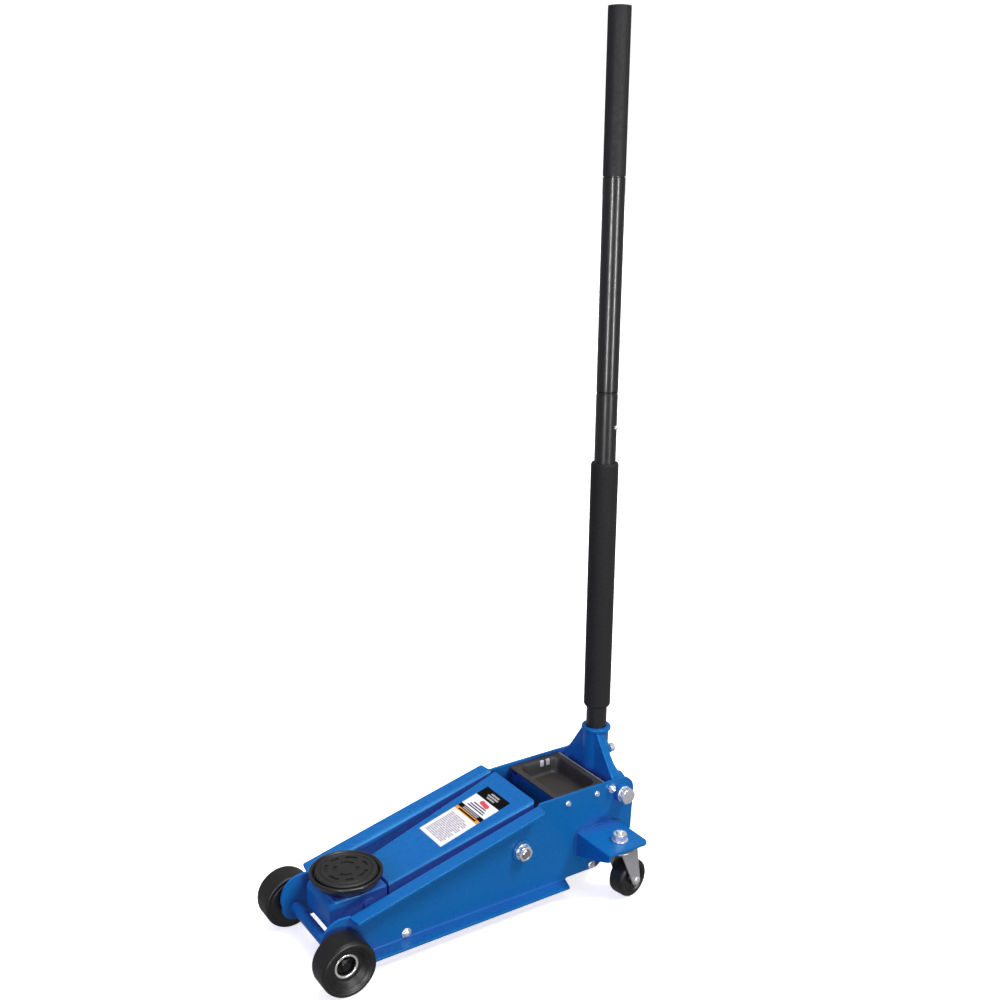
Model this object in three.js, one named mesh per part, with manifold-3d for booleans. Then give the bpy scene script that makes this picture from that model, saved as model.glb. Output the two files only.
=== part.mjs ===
// Hydraulic trolley jack: two bent side plates carry a lift arm, a saddle held level by radius rods,
// a hydraulic power unit, a tool tray and a pump handle. It rolls on two wheels and two casters.
// Millimetres. The pieces are laid out from the front axle: x forward, y to the left, z up from the floor.
import * as THREE from "three";
import { mergeVertices } from "three/addons/utils/BufferGeometryUtils.js";
import Module from "manifold-3d";

const wasm = await Module();
wasm.setup();

// ---- Driving dimensions ------------------------------------------------------------------------
const ORIGIN_TO_AXLE = 274; // the origin lies under the middle of the jack's length
const GAP = 0.3; // left between pieces that touch
const FIT = 0.4; // radial play of a pin in its hole

const PLATE = 5; // sheet thickness of the side plates
const PLATE_INNER = 71;
const PLATE_OUTER = PLATE_INNER + PLATE;
const FLANGE_OUTER = 100;
const PLATE_BOTTOM = 22;
const PLATE_TOP = 185; // level top edge beside the tray
const FLANGE_SLOPE = 0.241;
const FLANGE_Z = 92.8; // height of the sloping flange's top over the front axle

const AXLE = { x: 0, z: 45, r: 8, barR: 9.3 };
const FRONT_WHEEL = { r: 45, inner: 84.6, outer: 127.3, boreR: 20, dishR: 36.5, dish: 113.4 };
const FRONT_TIE = { x: -123, z: 36, r: 5 };
const REAR_TIE = { x: -491, z: 36, r: 4 };

const LIFT_PIVOT = { x: -343, z: 110.5, r: 12, endR: 8 };
const ARM = { front: -112, rear: -379, topZ: 80.26, slope: 0.28, frontHalf: 44, rearHalf: 64, wall: 5 };
const CRADLE_PIN = { x: -75, z: 88, r: 7 };
const ROD_OFFSET = { x: 53, z: -22 }; // from each arm pin to the matching radius rod pin
const ROD = { inner: 24, outer: 31, height: 12, eyeR: 11, pinR: 6 };
const CRADLE = { front: -15, rear: -108, half: 44, wall: 5.5, top: 110, bottom: 66 };
const SADDLE = { x: -57.5, r: 58.7, top: 132.8, stemR: 12 };

const RAM = { z: 62.5, drop: 48, rodR: 12, pinR: 7 };
const RESERVOIR = { rear: -467.7, front: -396, r: 28 };
const PUMP = { rear: -500, front: -442, z: 121, r: 8 };
const SPRING_Z = 29;

const HANDLE = { x: -552, pivotZ: 158, boltR: 8, r: 18, wall: 2 };
const CLAMP_Z = 202; // height of the clamp bolt in the handle socket
const CAM = { r: 40, halfStroke: Math.PI / 6, rollerR: 9, pinR: 6 };
const RELEASE_ANGLE = THREE.MathUtils.degToRad(20);
const TUBE = { bottom: 193, joint: 852.7, insert: 770, grip: 1194, top: 1447 };
const GRIP_CORE = 16.5; // radius of the tube under the grip
const FOAM = { bottom: 295, top: 733.6, r: 23.25 };
const BUTTON = { z: 794, r: 4, heading: THREE.MathUtils.degToRad(114) };

const TRAY = { front: -414.7, rear: -520.3, half: 70.2, top: 180.8, sheet: 2.5, depth: 30 };
const BRACKET = { front: -455, rear: -541, outer: 168, top: 110.5, sheet: 5 };
const CASTER = { x: -502, y: 137, trail: 24, wheelR: 33, half: 15, leg: 18 };
const CASTER_HEADING = THREE.MathUtils.degToRad(10.5);

// ---- Materials ---------------------------------------------------------------------------------
function finish(color, roughness, metalness) {
  return new THREE.MeshStandardMaterial({ color, roughness, metalness });
}
const bluePaint = finish(0x1860b0, 0.3, 0.1);
const zinc = finish(0xb9bcc0, 0.35, 0.9);
const steel = finish(0x8d9196, 0.3, 1);
const darkSteel = finish(0x2c2d30, 0.45, 0.9);
const greyCasting = finish(0x6d7176, 0.55, 0.6);
const blackPaint = finish(0x17181a, 0.35, 0.3);
const blackPlastic = finish(0x1b1c1e, 0.5, 0);
const rubber = finish(0x141414, 0.8, 0);
const foam = finish(0x101112, 0.9, 0);

// ---- Solid helpers -----------------------------------------------------------------------------
function solidOf(geometry) {
  const bare = geometry.clone();
  bare.deleteAttribute("normal");
  bare.deleteAttribute("uv");
  const merged = mergeVertices(bare, 1e-4);
  return new wasm.Manifold(
    new wasm.Mesh({
      numProp: 3,
      vertProperties: merged.attributes.position.array,
      triVerts: new Uint32Array(merged.index.array),
    }),
  );
}

function geometryOf(solid) {
  const mesh = solid.getMesh();
  const geometry = new THREE.BufferGeometry();
  geometry.setAttribute("position", new THREE.BufferAttribute(mesh.vertProperties, 3));
  geometry.setIndex(new THREE.BufferAttribute(mesh.triVerts, 1));
  geometry.computeVertexNormals();
  return geometry;
}

function join(...solids) {
  return solids.reduce((all, next) => all.add(next));
}

// A box between two corners.
function box(x0, x1, y0, y1, z0, z1) {
  const geometry = new THREE.BoxGeometry(x1 - x0, y1 - y0, z1 - z0);
  return solidOf(geometry.translate((x0 + x1) / 2, (y0 + y1) / 2, (z0 + z1) / 2));
}

// A round piece turned about the x, y or z axis from a closed outline of [radius, height] points.
function turned(outline, axis, segments = 18) {
  const points = outline.map(([r, h]) => new THREE.Vector2(r, h));
  let area = 0;
  points.forEach((p, i) => {
    const q = points[(i + 1) % points.length];
    area += p.x * q.y - q.x * p.y;
  });
  if (area < 0) points.reverse();
  const before = (i) => points[(i + points.length - 1) % points.length];
  const first = points.findIndex((p, i) => p.x === 0 && before(i).x === 0);
  const ordered = first < 0 ? [...points, points[0]] : [...points.slice(first), ...points.slice(0, first)];
  const geometry = new THREE.LatheGeometry(ordered, segments);
  if (axis === "z") geometry.rotateX(Math.PI / 2);
  if (axis === "x") geometry.rotateZ(-Math.PI / 2);
  return solidOf(geometry);
}

// A rod of one radius along an axis, from a to b, with its centre line at the other two coordinates.
function rod(axis, radius, a, b, u = 0, v = 0, segments = 14) {
  const solid = turned([[0, a], [radius, a], [radius, b], [0, b]], axis, segments);
  if (axis === "x") return solid.translate([0, u, v]);
  if (axis === "y") return solid.translate([u, 0, v]);
  return solid.translate([u, v, 0]);
}

// A hexagonal prism along an axis, measured across its flats.
function hex(axis, acrossFlats, a, b, u = 0, v = 0) {
  return rod(axis, acrossFlats / Math.sqrt(3), a, b, u, v, 6);
}

function outline(points) {
  return new THREE.Shape(points.map(([u, v]) => new THREE.Vector2(u, v)));
}

const PLANES = {
  xy: new THREE.Matrix4(),
  xz: new THREE.Matrix4().makeRotationX(Math.PI / 2),
  yz: new THREE.Matrix4().set(0, 0, 1, 0, 1, 0, 0, 0, 0, 1, 0, 0, 0, 0, 0, 1),
};

// A shape drawn in one plane and given thickness from a to b along the third axis.
function slab(shape, plane, a, b, curveSegments = 6) {
  const geometry = new THREE.ExtrudeGeometry(shape, { depth: b - a, bevelEnabled: false, curveSegments });
  geometry.applyMatrix4(PLANES[plane]);
  if (plane === "xy") geometry.translate(0, 0, a);
  if (plane === "xz") geometry.translate(0, b, 0);
  if (plane === "yz") geometry.translate(a, 0, 0);
  return solidOf(geometry);
}

// A bar with round ends between two points, drawn as a shape.
function capsule([u0, v0], [u1, v1], radius) {
  const angle = Math.atan2(v1 - v0, u1 - u0);
  const shape = new THREE.Shape();
  shape.absarc(u0, v0, radius, angle + Math.PI / 2, angle + Math.PI * 1.5, false);
  shape.absarc(u1, v1, radius, angle - Math.PI / 2, angle + Math.PI / 2, false);
  return shape;
}

function roundedBox(u0, u1, v0, v1, radius) {
  const shape = new THREE.Shape();
  shape.absarc(u1 - radius, v0 + radius, radius, -Math.PI / 2, 0, false);
  shape.absarc(u1 - radius, v1 - radius, radius, 0, Math.PI / 2, false);
  shape.absarc(u0 + radius, v1 - radius, radius, Math.PI / 2, Math.PI, false);
  shape.absarc(u0 + radius, v0 + radius, radius, Math.PI, Math.PI * 1.5, false);
  return shape;
}

const jack = new THREE.Group();
jack.position.x = ORIGIN_TO_AXLE;

function add(name, solid, material, group = jack) {
  const mesh = new THREE.Mesh(geometryOf(solid), material);
  mesh.name = name;
  group.add(mesh);
  return mesh;
}

// The same piece on the left side and, mirrored, on the right.
function addPair(name, solid, material, group = jack) {
  add(`${name}_left`, solid, material, group);
  add(`${name}_right`, solid, material, group).scale.y = -1;
}

// ---- Chassis -----------------------------------------------------------------------------------
const PIVOT_BOSS = { r: 17, end: 83.5 };
const LIFT_BOSS = { r: 19, end: 78.5 };

function sidePlate() {
  const nose = { x: -14, z: 61.5, r: 38.5 };
  const lobeR = AXLE.z - PLATE_BOTTOM;
  const corner = { x: -553, r: PLATE_TOP - HANDLE.pivotZ };
  const rearEdge = { x: -576, z: 78 };
  const underside = { rear: -502, front: -437, step: 6 }; // raised edge behind the bottom flange
  const flangeTop = (x) => FLANGE_Z - FLANGE_SLOPE * x;
  const flangeFront = -27;
  const flangeRear = (FLANGE_Z - PLATE_TOP) / FLANGE_SLOPE;

  const shape = new THREE.Shape();
  shape.absarc(AXLE.x, AXLE.z, lobeR, -Math.PI / 2, Math.PI / 18, false);
  shape.absarc(nose.x, nose.z, nose.r, -Math.PI / 9.6, Math.PI / 2, false);
  shape.lineTo(flangeFront, flangeTop(flangeFront));
  shape.lineTo(flangeRear, PLATE_TOP);
  shape.absarc(corner.x, HANDLE.pivotZ, corner.r, Math.PI / 2, Math.PI, false);
  shape.lineTo(rearEdge.x, rearEdge.z);
  shape.lineTo(underside.rear, PLATE_BOTTOM + underside.step);
  shape.lineTo(underside.front, PLATE_BOTTOM + underside.step);
  shape.lineTo(underside.front + 4, PLATE_BOTTOM);
  const web = slab(shape, "xz", PLATE_INNER, PLATE_OUTER, 8);

  const strip = outline([
    [0, flangeTop(0)],
    [-400, flangeTop(-400)],
    [-400, flangeTop(-400) - PLATE],
    [0, flangeTop(0) - PLATE],
  ]);
  const plan = new THREE.Shape();
  plan.moveTo(-23, PLATE_INNER);
  plan.lineTo(flangeFront, FLANGE_OUTER);
  plan.lineTo(-361, FLANGE_OUTER);
  plan.quadraticCurveTo(-371, FLANGE_OUTER, -376, 92);
  plan.lineTo(flangeRear, PLATE_INNER);
  const topFlange = slab(strip, "xz", PLATE_INNER, FLANGE_OUTER).intersect(slab(plan, "xy", 0, 300));
  const bottomPlan = outline([
    [-50, PLATE_INNER], [-436, PLATE_INNER], [-427, FLANGE_OUTER], [-55, FLANGE_OUTER],
  ]);
  const bottomFlange = slab(bottomPlan, "xy", PLATE_BOTTOM, PLATE_BOTTOM + PLATE);

  const pivotBoss = rod("y", PIVOT_BOSS.r, PLATE_OUTER - 1, PIVOT_BOSS.end, HANDLE.x, HANDLE.pivotZ);
  const liftBoss = rod("y", LIFT_BOSS.r, PLATE_OUTER - 1, LIFT_BOSS.end, LIFT_PIVOT.x, LIFT_PIVOT.z);
  const holes = [
    [AXLE.x, AXLE.z, AXLE.r],
    [LIFT_PIVOT.x, LIFT_PIVOT.z, LIFT_PIVOT.endR],
    [HANDLE.x, HANDLE.pivotZ, HANDLE.boltR],
    [FRONT_TIE.x, FRONT_TIE.z, FRONT_TIE.r],
    [REAR_TIE.x, REAR_TIE.z, REAR_TIE.r],
  ].map(([x, z, r]) => rod("y", r + FIT, PLATE_INNER - 1, 90, x, z));
  return join(web, topFlange, bottomFlange, pivotBoss, liftBoss).subtract(join(...holes));
}
addPair("side_plate", sidePlate(), bluePaint);

function frontAxle() {
  const shoulder = PLATE_INNER - GAP;
  const end = 113;
  const journal = rod("y", AXLE.r, -end, end, AXLE.x, AXLE.z);
  return join(journal, rod("y", AXLE.barR, -shoulder, shoulder, AXLE.x, AXLE.z));
}
add("front_axle", frontAxle(), bluePaint);

function tieBolt({ x, z, r }, acrossFlats, headHeight, tail) {
  const headFrom = PLATE_OUTER + GAP;
  const shank = rod("y", r, -PLATE_OUTER - tail, headFrom + 1, x, z, 12);
  return join(shank, hex("y", acrossFlats, headFrom, headFrom + headHeight, x, z));
}
add("front_tie_bolt", tieBolt(FRONT_TIE, 14, 6, 8), zinc);
add("rear_tie_bolt", tieBolt(REAR_TIE, 12, 3.2, 3), zinc);

function trayCrossPlate() {
  const front = -421;
  const shape = outline([
    [-70.5, 148], [70.5, 148], [70.5, 166], [57, 166], [57, 178], [-57, 178], [-57, 166], [-70.5, 166],
  ]);
  return slab(shape, "yz", front - PLATE, front);
}
add("tray_cross_plate", trayCrossPlate(), bluePaint);

function unitCrossPlate() {
  const front = -400;
  const plate = box(front - 6, front, -PLATE_INNER + GAP, PLATE_INNER - GAP, 38, 98);
  return plate.subtract(rod("x", RESERVOIR.r + FIT, front - 7, front + 1, 0, RAM.z, 24));
}
add("unit_cross_plate", unitCrossPlate(), bluePaint);

function toolTray() {
  const under = TRAY.top - TRAY.sheet;
  const basin = { x0: TRAY.rear + 7, x1: -426.6, half: 60, floor: TRAY.top - TRAY.depth, corner: 15 };
  const lip = slab(roundedBox(TRAY.rear, TRAY.front, -TRAY.half, TRAY.half, 3), "xy", under, TRAY.top, 3);
  const rim = roundedBox(basin.x0, basin.x1, -basin.half, basin.half, basin.corner);
  const outer = slab(rim, "xy", basin.floor, under + 1, 5);
  const t = TRAY.sheet;
  const hollow = roundedBox(basin.x0 + t, basin.x1 - t, -basin.half + t, basin.half - t, basin.corner - t);
  const skirt = (y) => box(TRAY.rear + 5, basin.x1, y - 1, y + 1, 162, under + 1);
  const sheet = join(lip, outer, skirt(TRAY.half - 1), skirt(1 - TRAY.half));
  return sheet.subtract(slab(hollow, "xy", basin.floor + t, 200, 5));
}
add("tool_tray", toolTray(), blackPaint);

// ---- Lift pivot, arm, cradle and saddle --------------------------------------------------------
function liftPivotShaft() {
  const shoulder = PLATE_INNER - GAP;
  const { x, z, r, endR } = LIFT_PIVOT;
  return join(rod("y", r, -shoulder, shoulder, x, z, 18), rod("y", endR, -92, 92, x, z));
}
add("lift_pivot_shaft", liftPivotShaft(), steel);

function nut(acrossFlats, boreR, from, to, x, z) {
  return hex("y", acrossFlats, from, to, x, z).subtract(rod("y", boreR + FIT, from - 1, to + 1, x, z));
}
const liftNutFrom = LIFT_BOSS.end + GAP;
addPair("lift_pivot_nut", nut(24, LIFT_PIVOT.endR, liftNutFrom, 90, LIFT_PIVOT.x, LIFT_PIVOT.z), zinc);

// Plan of the arm, wider at the rear, moved in by an inset on both sides.
function armPlan(inset) {
  const { front, rear, frontHalf, rearHalf } = ARM;
  return outline([
    [front + 1, frontHalf - inset], [rear - 20, rearHalf - inset + 1],
    [rear - 20, -rearHalf + inset - 1], [front + 1, -frontHalf + inset],
  ]);
}

function liftArm() {
  const top = (x) => ARM.topZ - ARM.slope * x;
  const { x: px, z: pz } = LIFT_PIVOT;
  const boss = 20;
  const side = new THREE.Shape();
  side.moveTo(ARM.front, top(ARM.front));
  side.lineTo(ARM.rear, top(ARM.rear));
  side.lineTo(ARM.rear - 1, top(ARM.rear) - 7);
  side.absarc(px, pz, boss, Math.PI * 0.93, Math.PI * 1.75, false);
  side.lineTo(-262, 100);
  side.lineTo(ARM.front, 78);
  const hollow = outline([
    [ARM.front + 5, top(ARM.front + 5) - 6], [ARM.rear + 6, top(ARM.rear + 6) - 6],
    [ARM.rear + 6, 60], [ARM.front + 5, 60],
  ]);
  const body = slab(side, "xz", -80, 80).intersect(slab(armPlan(0), "xy", 0, 300));
  const inside = slab(hollow, "xz", -80, 80).intersect(slab(armPlan(ARM.wall), "xy", 0, 300));
  const shell = body.subtract(inside);

  const earPin = [CRADLE_PIN.x, CRADLE_PIN.z];
  const earRear = [-160, 92];
  const blade = { shape: capsule(earPin, earRear, 13), from: 32.5, to: 37.5 };
  const earRoot = { shape: capsule([-128, 91], earRear, 12), from: 36, to: 44 };
  const reach = RAM.drop / Math.cos(CAM.halfStroke);
  const down = -Math.PI / 2 - CAM.halfStroke;
  const at = (radius) => [px + radius * Math.cos(down), pz + radius * Math.sin(down)];
  const ramLug = { shape: capsule([px, pz], at(reach - 1.4), 14), from: 12.5, to: 20.5 };
  const ribs = [blade, earRoot, ramLug].flatMap(({ shape, from, to }) => [
    slab(shape, "xz", from, to),
    slab(shape, "xz", -to, -from),
  ]);
  const slot = slab(capsule(at(RAM.drop - 0.5), at(reach + 0.5), RAM.pinR + 1.3), "xz", -25, 25);
  const tube = rod("y", LIFT_PIVOT.r + 4, -62, 62, px, pz, 18);
  const bore = rod("y", LIFT_PIVOT.r + FIT, -80, 80, px, pz, 18);
  const pinHole = rod("y", CRADLE_PIN.r + FIT, -60, 60, CRADLE_PIN.x, CRADLE_PIN.z);
  // The sleeve on the pivot shaft is cut away where the radius rods pass it.
  const rodSlots = join(box(px - 40, px + 40, ROD.inner - 1, ROD.outer + 1, pz - 40, pz + 13),
    box(px - 40, px + 40, -ROD.outer - 1, -ROD.inner + 1, pz - 40, pz + 13));
  return join(shell, ...ribs, tube.subtract(rodSlots)).subtract(join(slot, bore, pinHole));
}
add("lift_arm", liftArm(), bluePaint);

function cradlePin() {
  const { x, z, r } = CRADLE_PIN;
  const end = CRADLE.half + 3;
  const seat = CRADLE.half + GAP;
  const heads = [rod("y", r + 3, seat, end, x, z), rod("y", r + 3, -end, -seat, x, z)];
  return join(rod("y", r, -end, end, x, z), ...heads);
}
add("cradle_pin", cradlePin(), bluePaint);

const rodPin = { x: CRADLE_PIN.x + ROD_OFFSET.x, z: CRADLE_PIN.z + ROD_OFFSET.z };
const rodAnchor = { x: LIFT_PIVOT.x + ROD_OFFSET.x, z: LIFT_PIVOT.z + ROD_OFFSET.z };

function saddleCradle() {
  const { front, rear, half, wall, top, bottom } = CRADLE;
  const { x: px, z: pz } = CRADLE_PIN;
  const clearR = 34; // the arm swings round outside this radius
  const side = new THREE.Shape();
  const start = Math.asin((bottom - pz) / clearR);
  side.moveTo(front, bottom);
  side.lineTo(front, top);
  side.lineTo(rear, top);
  side.lineTo(rear, pz + 8);
  side.absarc(px, pz, clearR, Math.PI - 0.24, Math.PI - start, false);
  const block = slab(side, "xz", -half, half);
  const hollow = box(rear - 1, front - wall, -half + wall, half - wall, 0, top - 6);
  const lug = slab(capsule([rodPin.x, rodPin.z], [rodPin.x, top - 17], 15), "xz", -20, 20);
  const rodNotches = join(
    box(front - 8, front + 1, ROD.inner - 1, ROD.outer + 1, 0, rodPin.z + ROD.eyeR + 1.5),
    box(front - 8, front + 1, -ROD.outer - 1, -ROD.inner + 1, 0, rodPin.z + ROD.eyeR + 1.5),
  );
  const holes = join(
    rodNotches,
    rod("y", CRADLE_PIN.r + FIT, -60, 60, px, pz),
    rod("y", ROD.pinR + FIT, -60, 60, rodPin.x, rodPin.z),
    rod("z", SADDLE.stemR + FIT, 80, 140, SADDLE.x, 0, 24),
  );
  return join(block.subtract(hollow), lug).subtract(holes);
}
add("saddle_cradle", saddleCradle(), bluePaint);
add("radius_rod_pin", rod("y", ROD.pinR, -35, 35, rodPin.x, rodPin.z), bluePaint);

function saddleCup() {
  const base = CRADLE.top + GAP;
  return turned([
    [0, base - 12.5], [SADDLE.stemR, base - 12.5], [SADDLE.stemR, base], [47, base], [SADDLE.r, 126],
    [SADDLE.r, 131], [SADDLE.r - 4, 131], [SADDLE.r - 8, 123], [0, 123],
  ], "z", 28).translate([SADDLE.x, 0, 0]);
}
function saddlePad() {
  const outer = SADDLE.r - 8.5;
  return turned([
    [0, 123 + GAP], [outer, 123 + GAP], [outer, SADDLE.top - 1.5],
    [outer - 1.5, SADDLE.top], [0, SADDLE.top],
  ], "z", 28).translate([SADDLE.x, 0, 0]);
}
add("saddle_cup", saddleCup(), blackPaint);
add("saddle_pad", saddlePad(), rubber);

function radiusRod() {
  const from = [rodAnchor.x, rodAnchor.z];
  const to = [rodPin.x, rodPin.z];
  const bar = slab(capsule(from, to, ROD.height / 2), "xz", ROD.inner, ROD.outer);
  const eyes = [from, to].map(([x, z]) => rod("y", ROD.eyeR, ROD.inner, ROD.outer, x, z));
  const holes = [from, to].map(([x, z]) => rod("y", ROD.pinR + FIT, 0, 50, x, z));
  return join(bar, ...eyes).subtract(join(...holes));
}
addPair("radius_rod", radiusRod(), steel);

function rodAnchorStud() {
  const { x, z } = rodAnchor;
  const stub = rod("y", ROD.pinR, ROD.inner - 1, 40, x, z);
  return join(stub, rod("y", 9, ROD.outer + 1, PLATE_INNER - GAP, x, z));
}
addPair("rod_anchor", rodAnchorStud(), steel);

// ---- Hydraulic power unit ----------------------------------------------------------------------
function pumpBlock() {
  const { rear, front, z, r } = PUMP;
  const lower = box(rear, RESERVOIR.rear - GAP, -40, 40, 50, 100);
  const upper = box(rear, front, -30, 30, 99, 146);
  const plungerBore = rod("x", r + FIT, rear - 1, front - 5, 0, z);
  const spindleBore = rod("x", 5 + FIT, 30, 63).rotate([0, 20, 0]).translate([HANDLE.x, 0, HANDLE.pivotZ]);
  return join(lower, upper).subtract(join(plungerBore, spindleBore));
}
add("pump_block", pumpBlock(), greyCasting);

function reservoirCylinder() {
  const { rear, front, r } = RESERVOIR;
  const bore = RAM.rodR + FIT;
  return turned([[0, rear], [r, rear], [r, front], [bore, front], [bore, rear + 8], [0, rear + 8]], "x", 20)
    .translate([0, 0, RAM.z]);
}
add("reservoir_cylinder", reservoirCylinder(), greyCasting);

function cylinderGland() {
  const from = RESERVOIR.front + GAP;
  const body = hex("x", 36, from, from + 7.5, 0, RAM.z);
  return body.subtract(rod("x", RAM.rodR + FIT, from - 1, from + 9, 0, RAM.z));
}
add("cylinder_gland", cylinderGland(), steel);

const ramPinX = LIFT_PIVOT.x - RAM.drop * Math.tan(CAM.halfStroke);
add("ram_rod", rod("x", RAM.rodR, -457, ramPinX - 11.5, 0, RAM.z), steel);

function ramCrosshead() {
  const block = box(ramPinX - 11, ramPinX + 10, -11.5, 11.5, 49, 76);
  const pin = rod("y", RAM.pinR, -21, 21, ramPinX, RAM.z);
  const neck = box(ramPinX - 5, ramPinX + 2, -10, 10, 24, 50);
  const hooks = box(ramPinX - 5, ramPinX + 2, -18, 18, 24, 35);
  return join(block, pin, neck, hooks);
}
add("ram_crosshead", ramCrosshead(), darkSteel);
addPair("return_spring", rod("x", 5, -486.5, ramPinX - 5.5, 12, SPRING_Z, 12), steel);

const rollerX = HANDLE.x - CAM.r * Math.sin(CAM.halfStroke);
const rollerZ = HANDLE.pivotZ - CAM.r * Math.cos(CAM.halfStroke);
const plungerEnd = rollerX + CAM.rollerR + 0.9;

function pumpPlunger() {
  const { z, r } = PUMP;
  const flange = rod("x", 13, plungerEnd, plungerEnd + 4.5, 0, z);
  return join(flange, rod("x", r, plungerEnd, -494, 0, z));
}
add("pump_plunger", pumpPlunger(), steel);

function pumpSpring() {
  const a = plungerEnd + 4.5 + GAP;
  const b = PUMP.rear - GAP;
  const r = PUMP.r;
  return turned([[r + 1, a], [r + 4.5, a], [r + 4.5, b], [r + 1, b]], "x", 12).translate([0, 0, PUMP.z]);
}
add("pump_spring", pumpSpring(), steel);

function releaseSpindle() {
  const ball = solidOf(new THREE.SphereGeometry(7.5, 12, 8));
  return join(ball, rod("x", 5, 0, 61)).rotate([0, 20, 0]).translate([HANDLE.x, 0, HANDLE.pivotZ]);
}
add("release_spindle", releaseSpindle(), steel);

// ---- Handle socket -----------------------------------------------------------------------------
function handleSocket() {
  const { x, pivotZ, r } = HANDLE;
  const cheek = { inner: 56, outer: 69.5, r: 25 };
  const neckR = 22;
  const wingTop = 246;
  const shoulder = 186;
  const thick = 15;
  const webThick = 4;
  const neck = turned([
    [0, 162], [neckR, 162], [neckR, 248], [26, 250.5], [26, 254], [24.5, 256], [0, 256],
  ], "z", 24).translate([x, 0, 0]);
  const wings = slab(outline([
    [-neckR + 1, wingTop], [-cheek.outer, shoulder], [-cheek.outer, pivotZ], [-cheek.inner, pivotZ],
    [-cheek.inner, 181], [cheek.inner, 181], [cheek.inner, pivotZ], [cheek.outer, pivotZ],
    [cheek.outer, shoulder], [neckR - 1, wingTop],
  ]), "yz", x - thick, x + thick);
  const pockets = join(...[1, -1].map((s) => slab(
    outline([[s * 25, 229], [s * 25, 188], [s * 58.5, 188]]), "yz", x - thick - 1, x - webThick)));
  const cheeks = [1, -1].map((s) => {
    const y0 = s > 0 ? cheek.inner : -cheek.outer;
    const disc = rod("y", cheek.r, y0, y0 + 13.5, x, pivotZ, 22);
    const arm = slab(capsule([x, pivotZ], [rollerX, rollerZ], 10), "xz", 56, 66);
    return join(disc, s > 0 ? arm : arm.mirror([0, 1, 0]));
  });
  const clampBoss = rod("x", 9, x - 30, x - 20, 0, CLAMP_Z);
  const apron = slab(outline([[-56.5, pivotZ], [56.5, pivotZ], [56.5, 182], [-56.5, 182]]), "yz",
    x + thick - webThick, x + thick);
  const holes = join(
    rod("z", r + FIT, 155, 260, x, 0, 24),
    rod("y", HANDLE.boltR + FIT, -80, 80, x, pivotZ),
    rod("y", CAM.pinR + FIT, -80, 80, rollerX, rollerZ),
    rod("x", 5 + FIT, x - 40, x - 15, 0, CLAMP_Z),
  );
  return join(neck, wings.subtract(pockets), apron, ...cheeks, clampBoss).subtract(holes);
}
add("handle_socket", handleSocket(), bluePaint);

function handlePivotBolt() {
  const { x, pivotZ, boltR } = HANDLE;
  return join(rod("y", boltR, 57, 85, x, pivotZ), hex("y", 24, PIVOT_BOSS.end + GAP, 95, x, pivotZ));
}
addPair("handle_pivot_bolt", handlePivotBolt(), zinc);
add("cam_roller_pin", rod("y", CAM.pinR, -66, 66, rollerX, rollerZ), steel);

function camRoller() {
  const bore = CAM.pinR + FIT;
  return turned([[bore, -12], [CAM.rollerR, -12], [CAM.rollerR, 12], [bore, 12]], "y", 20)
    .translate([rollerX, 0, rollerZ]);
}
add("cam_roller", camRoller(), steel);

function handleClampBolt() {
  const tip = HANDLE.x - HANDLE.r - 2 * GAP;
  const seat = HANDLE.x - 30 - GAP;
  const shank = rod("x", 5, seat - 1, tip, 0, CLAMP_Z);
  const washer = rod("x", 8, seat - 2.5, seat, 0, CLAMP_Z);
  return join(shank, washer, hex("x", 14, seat - 10.7, seat - 2, 0, CLAMP_Z));
}
add("handle_clamp_bolt", handleClampBolt(), zinc);

// ---- Handle ------------------------------------------------------------------------------------
const handle = new THREE.Group();
handle.position.x = HANDLE.x;
jack.add(handle);

const buttonHole = rod("x", BUTTON.r + FIT, 5, 30)
  .rotate([0, 0, THREE.MathUtils.radToDeg(BUTTON.heading)])
  .translate([0, 0, BUTTON.z]);

function lowerTube() {
  const inner = HANDLE.r - HANDLE.wall;
  const tube = turned([
    [inner, TUBE.bottom], [HANDLE.r, TUBE.bottom], [HANDLE.r, TUBE.joint], [inner, TUBE.joint],
  ], "z");
  return tube.subtract(buttonHole);
}
add("handle_lower_tube", lowerTube(), blackPaint, handle);

function upperTube() {
  const insertR = HANDLE.r - HANDLE.wall - FIT;
  const bore = insertR - HANDLE.wall;
  return turned([
    [bore, TUBE.insert], [insertR, TUBE.insert], [insertR, TUBE.joint + 0.5], [HANDLE.r, TUBE.joint + 0.5],
    [HANDLE.r, TUBE.grip], [GRIP_CORE, TUBE.grip + 0.5], [GRIP_CORE, TUBE.top - 6], [bore, TUBE.top - 6],
  ], "z").subtract(buttonHole);
}
add("handle_upper_tube", upperTube(), blackPaint, handle);

function sleeve(innerR, outerR, bottom, top, rounding) {
  return turned([
    [innerR, bottom], [outerR - rounding, bottom], [outerR, bottom + rounding],
    [outerR, top - rounding], [outerR - rounding, top], [innerR, top],
  ], "z", 20);
}
add("foam_sleeve", sleeve(HANDLE.r + GAP, FOAM.r, FOAM.bottom, FOAM.top, 2), foam, handle);
add("handle_grip", sleeve(GRIP_CORE + GAP, 18.4, TUBE.grip + 1, TUBE.top - 1, 0.6), rubber, handle);

function endCap() {
  const plugR = HANDLE.r - HANDLE.wall - FIT - HANDLE.wall - GAP;
  return turned([
    [0, TUBE.top - 20], [plugR, TUBE.top - 20], [plugR, TUBE.top - 5.7], [16.4, TUBE.top - 5.7],
    [16.4, TUBE.top - 1.5], [14, TUBE.top], [0, TUBE.top],
  ], "z");
}
add("handle_end_cap", endCap(), blackPlastic, handle);

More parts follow.
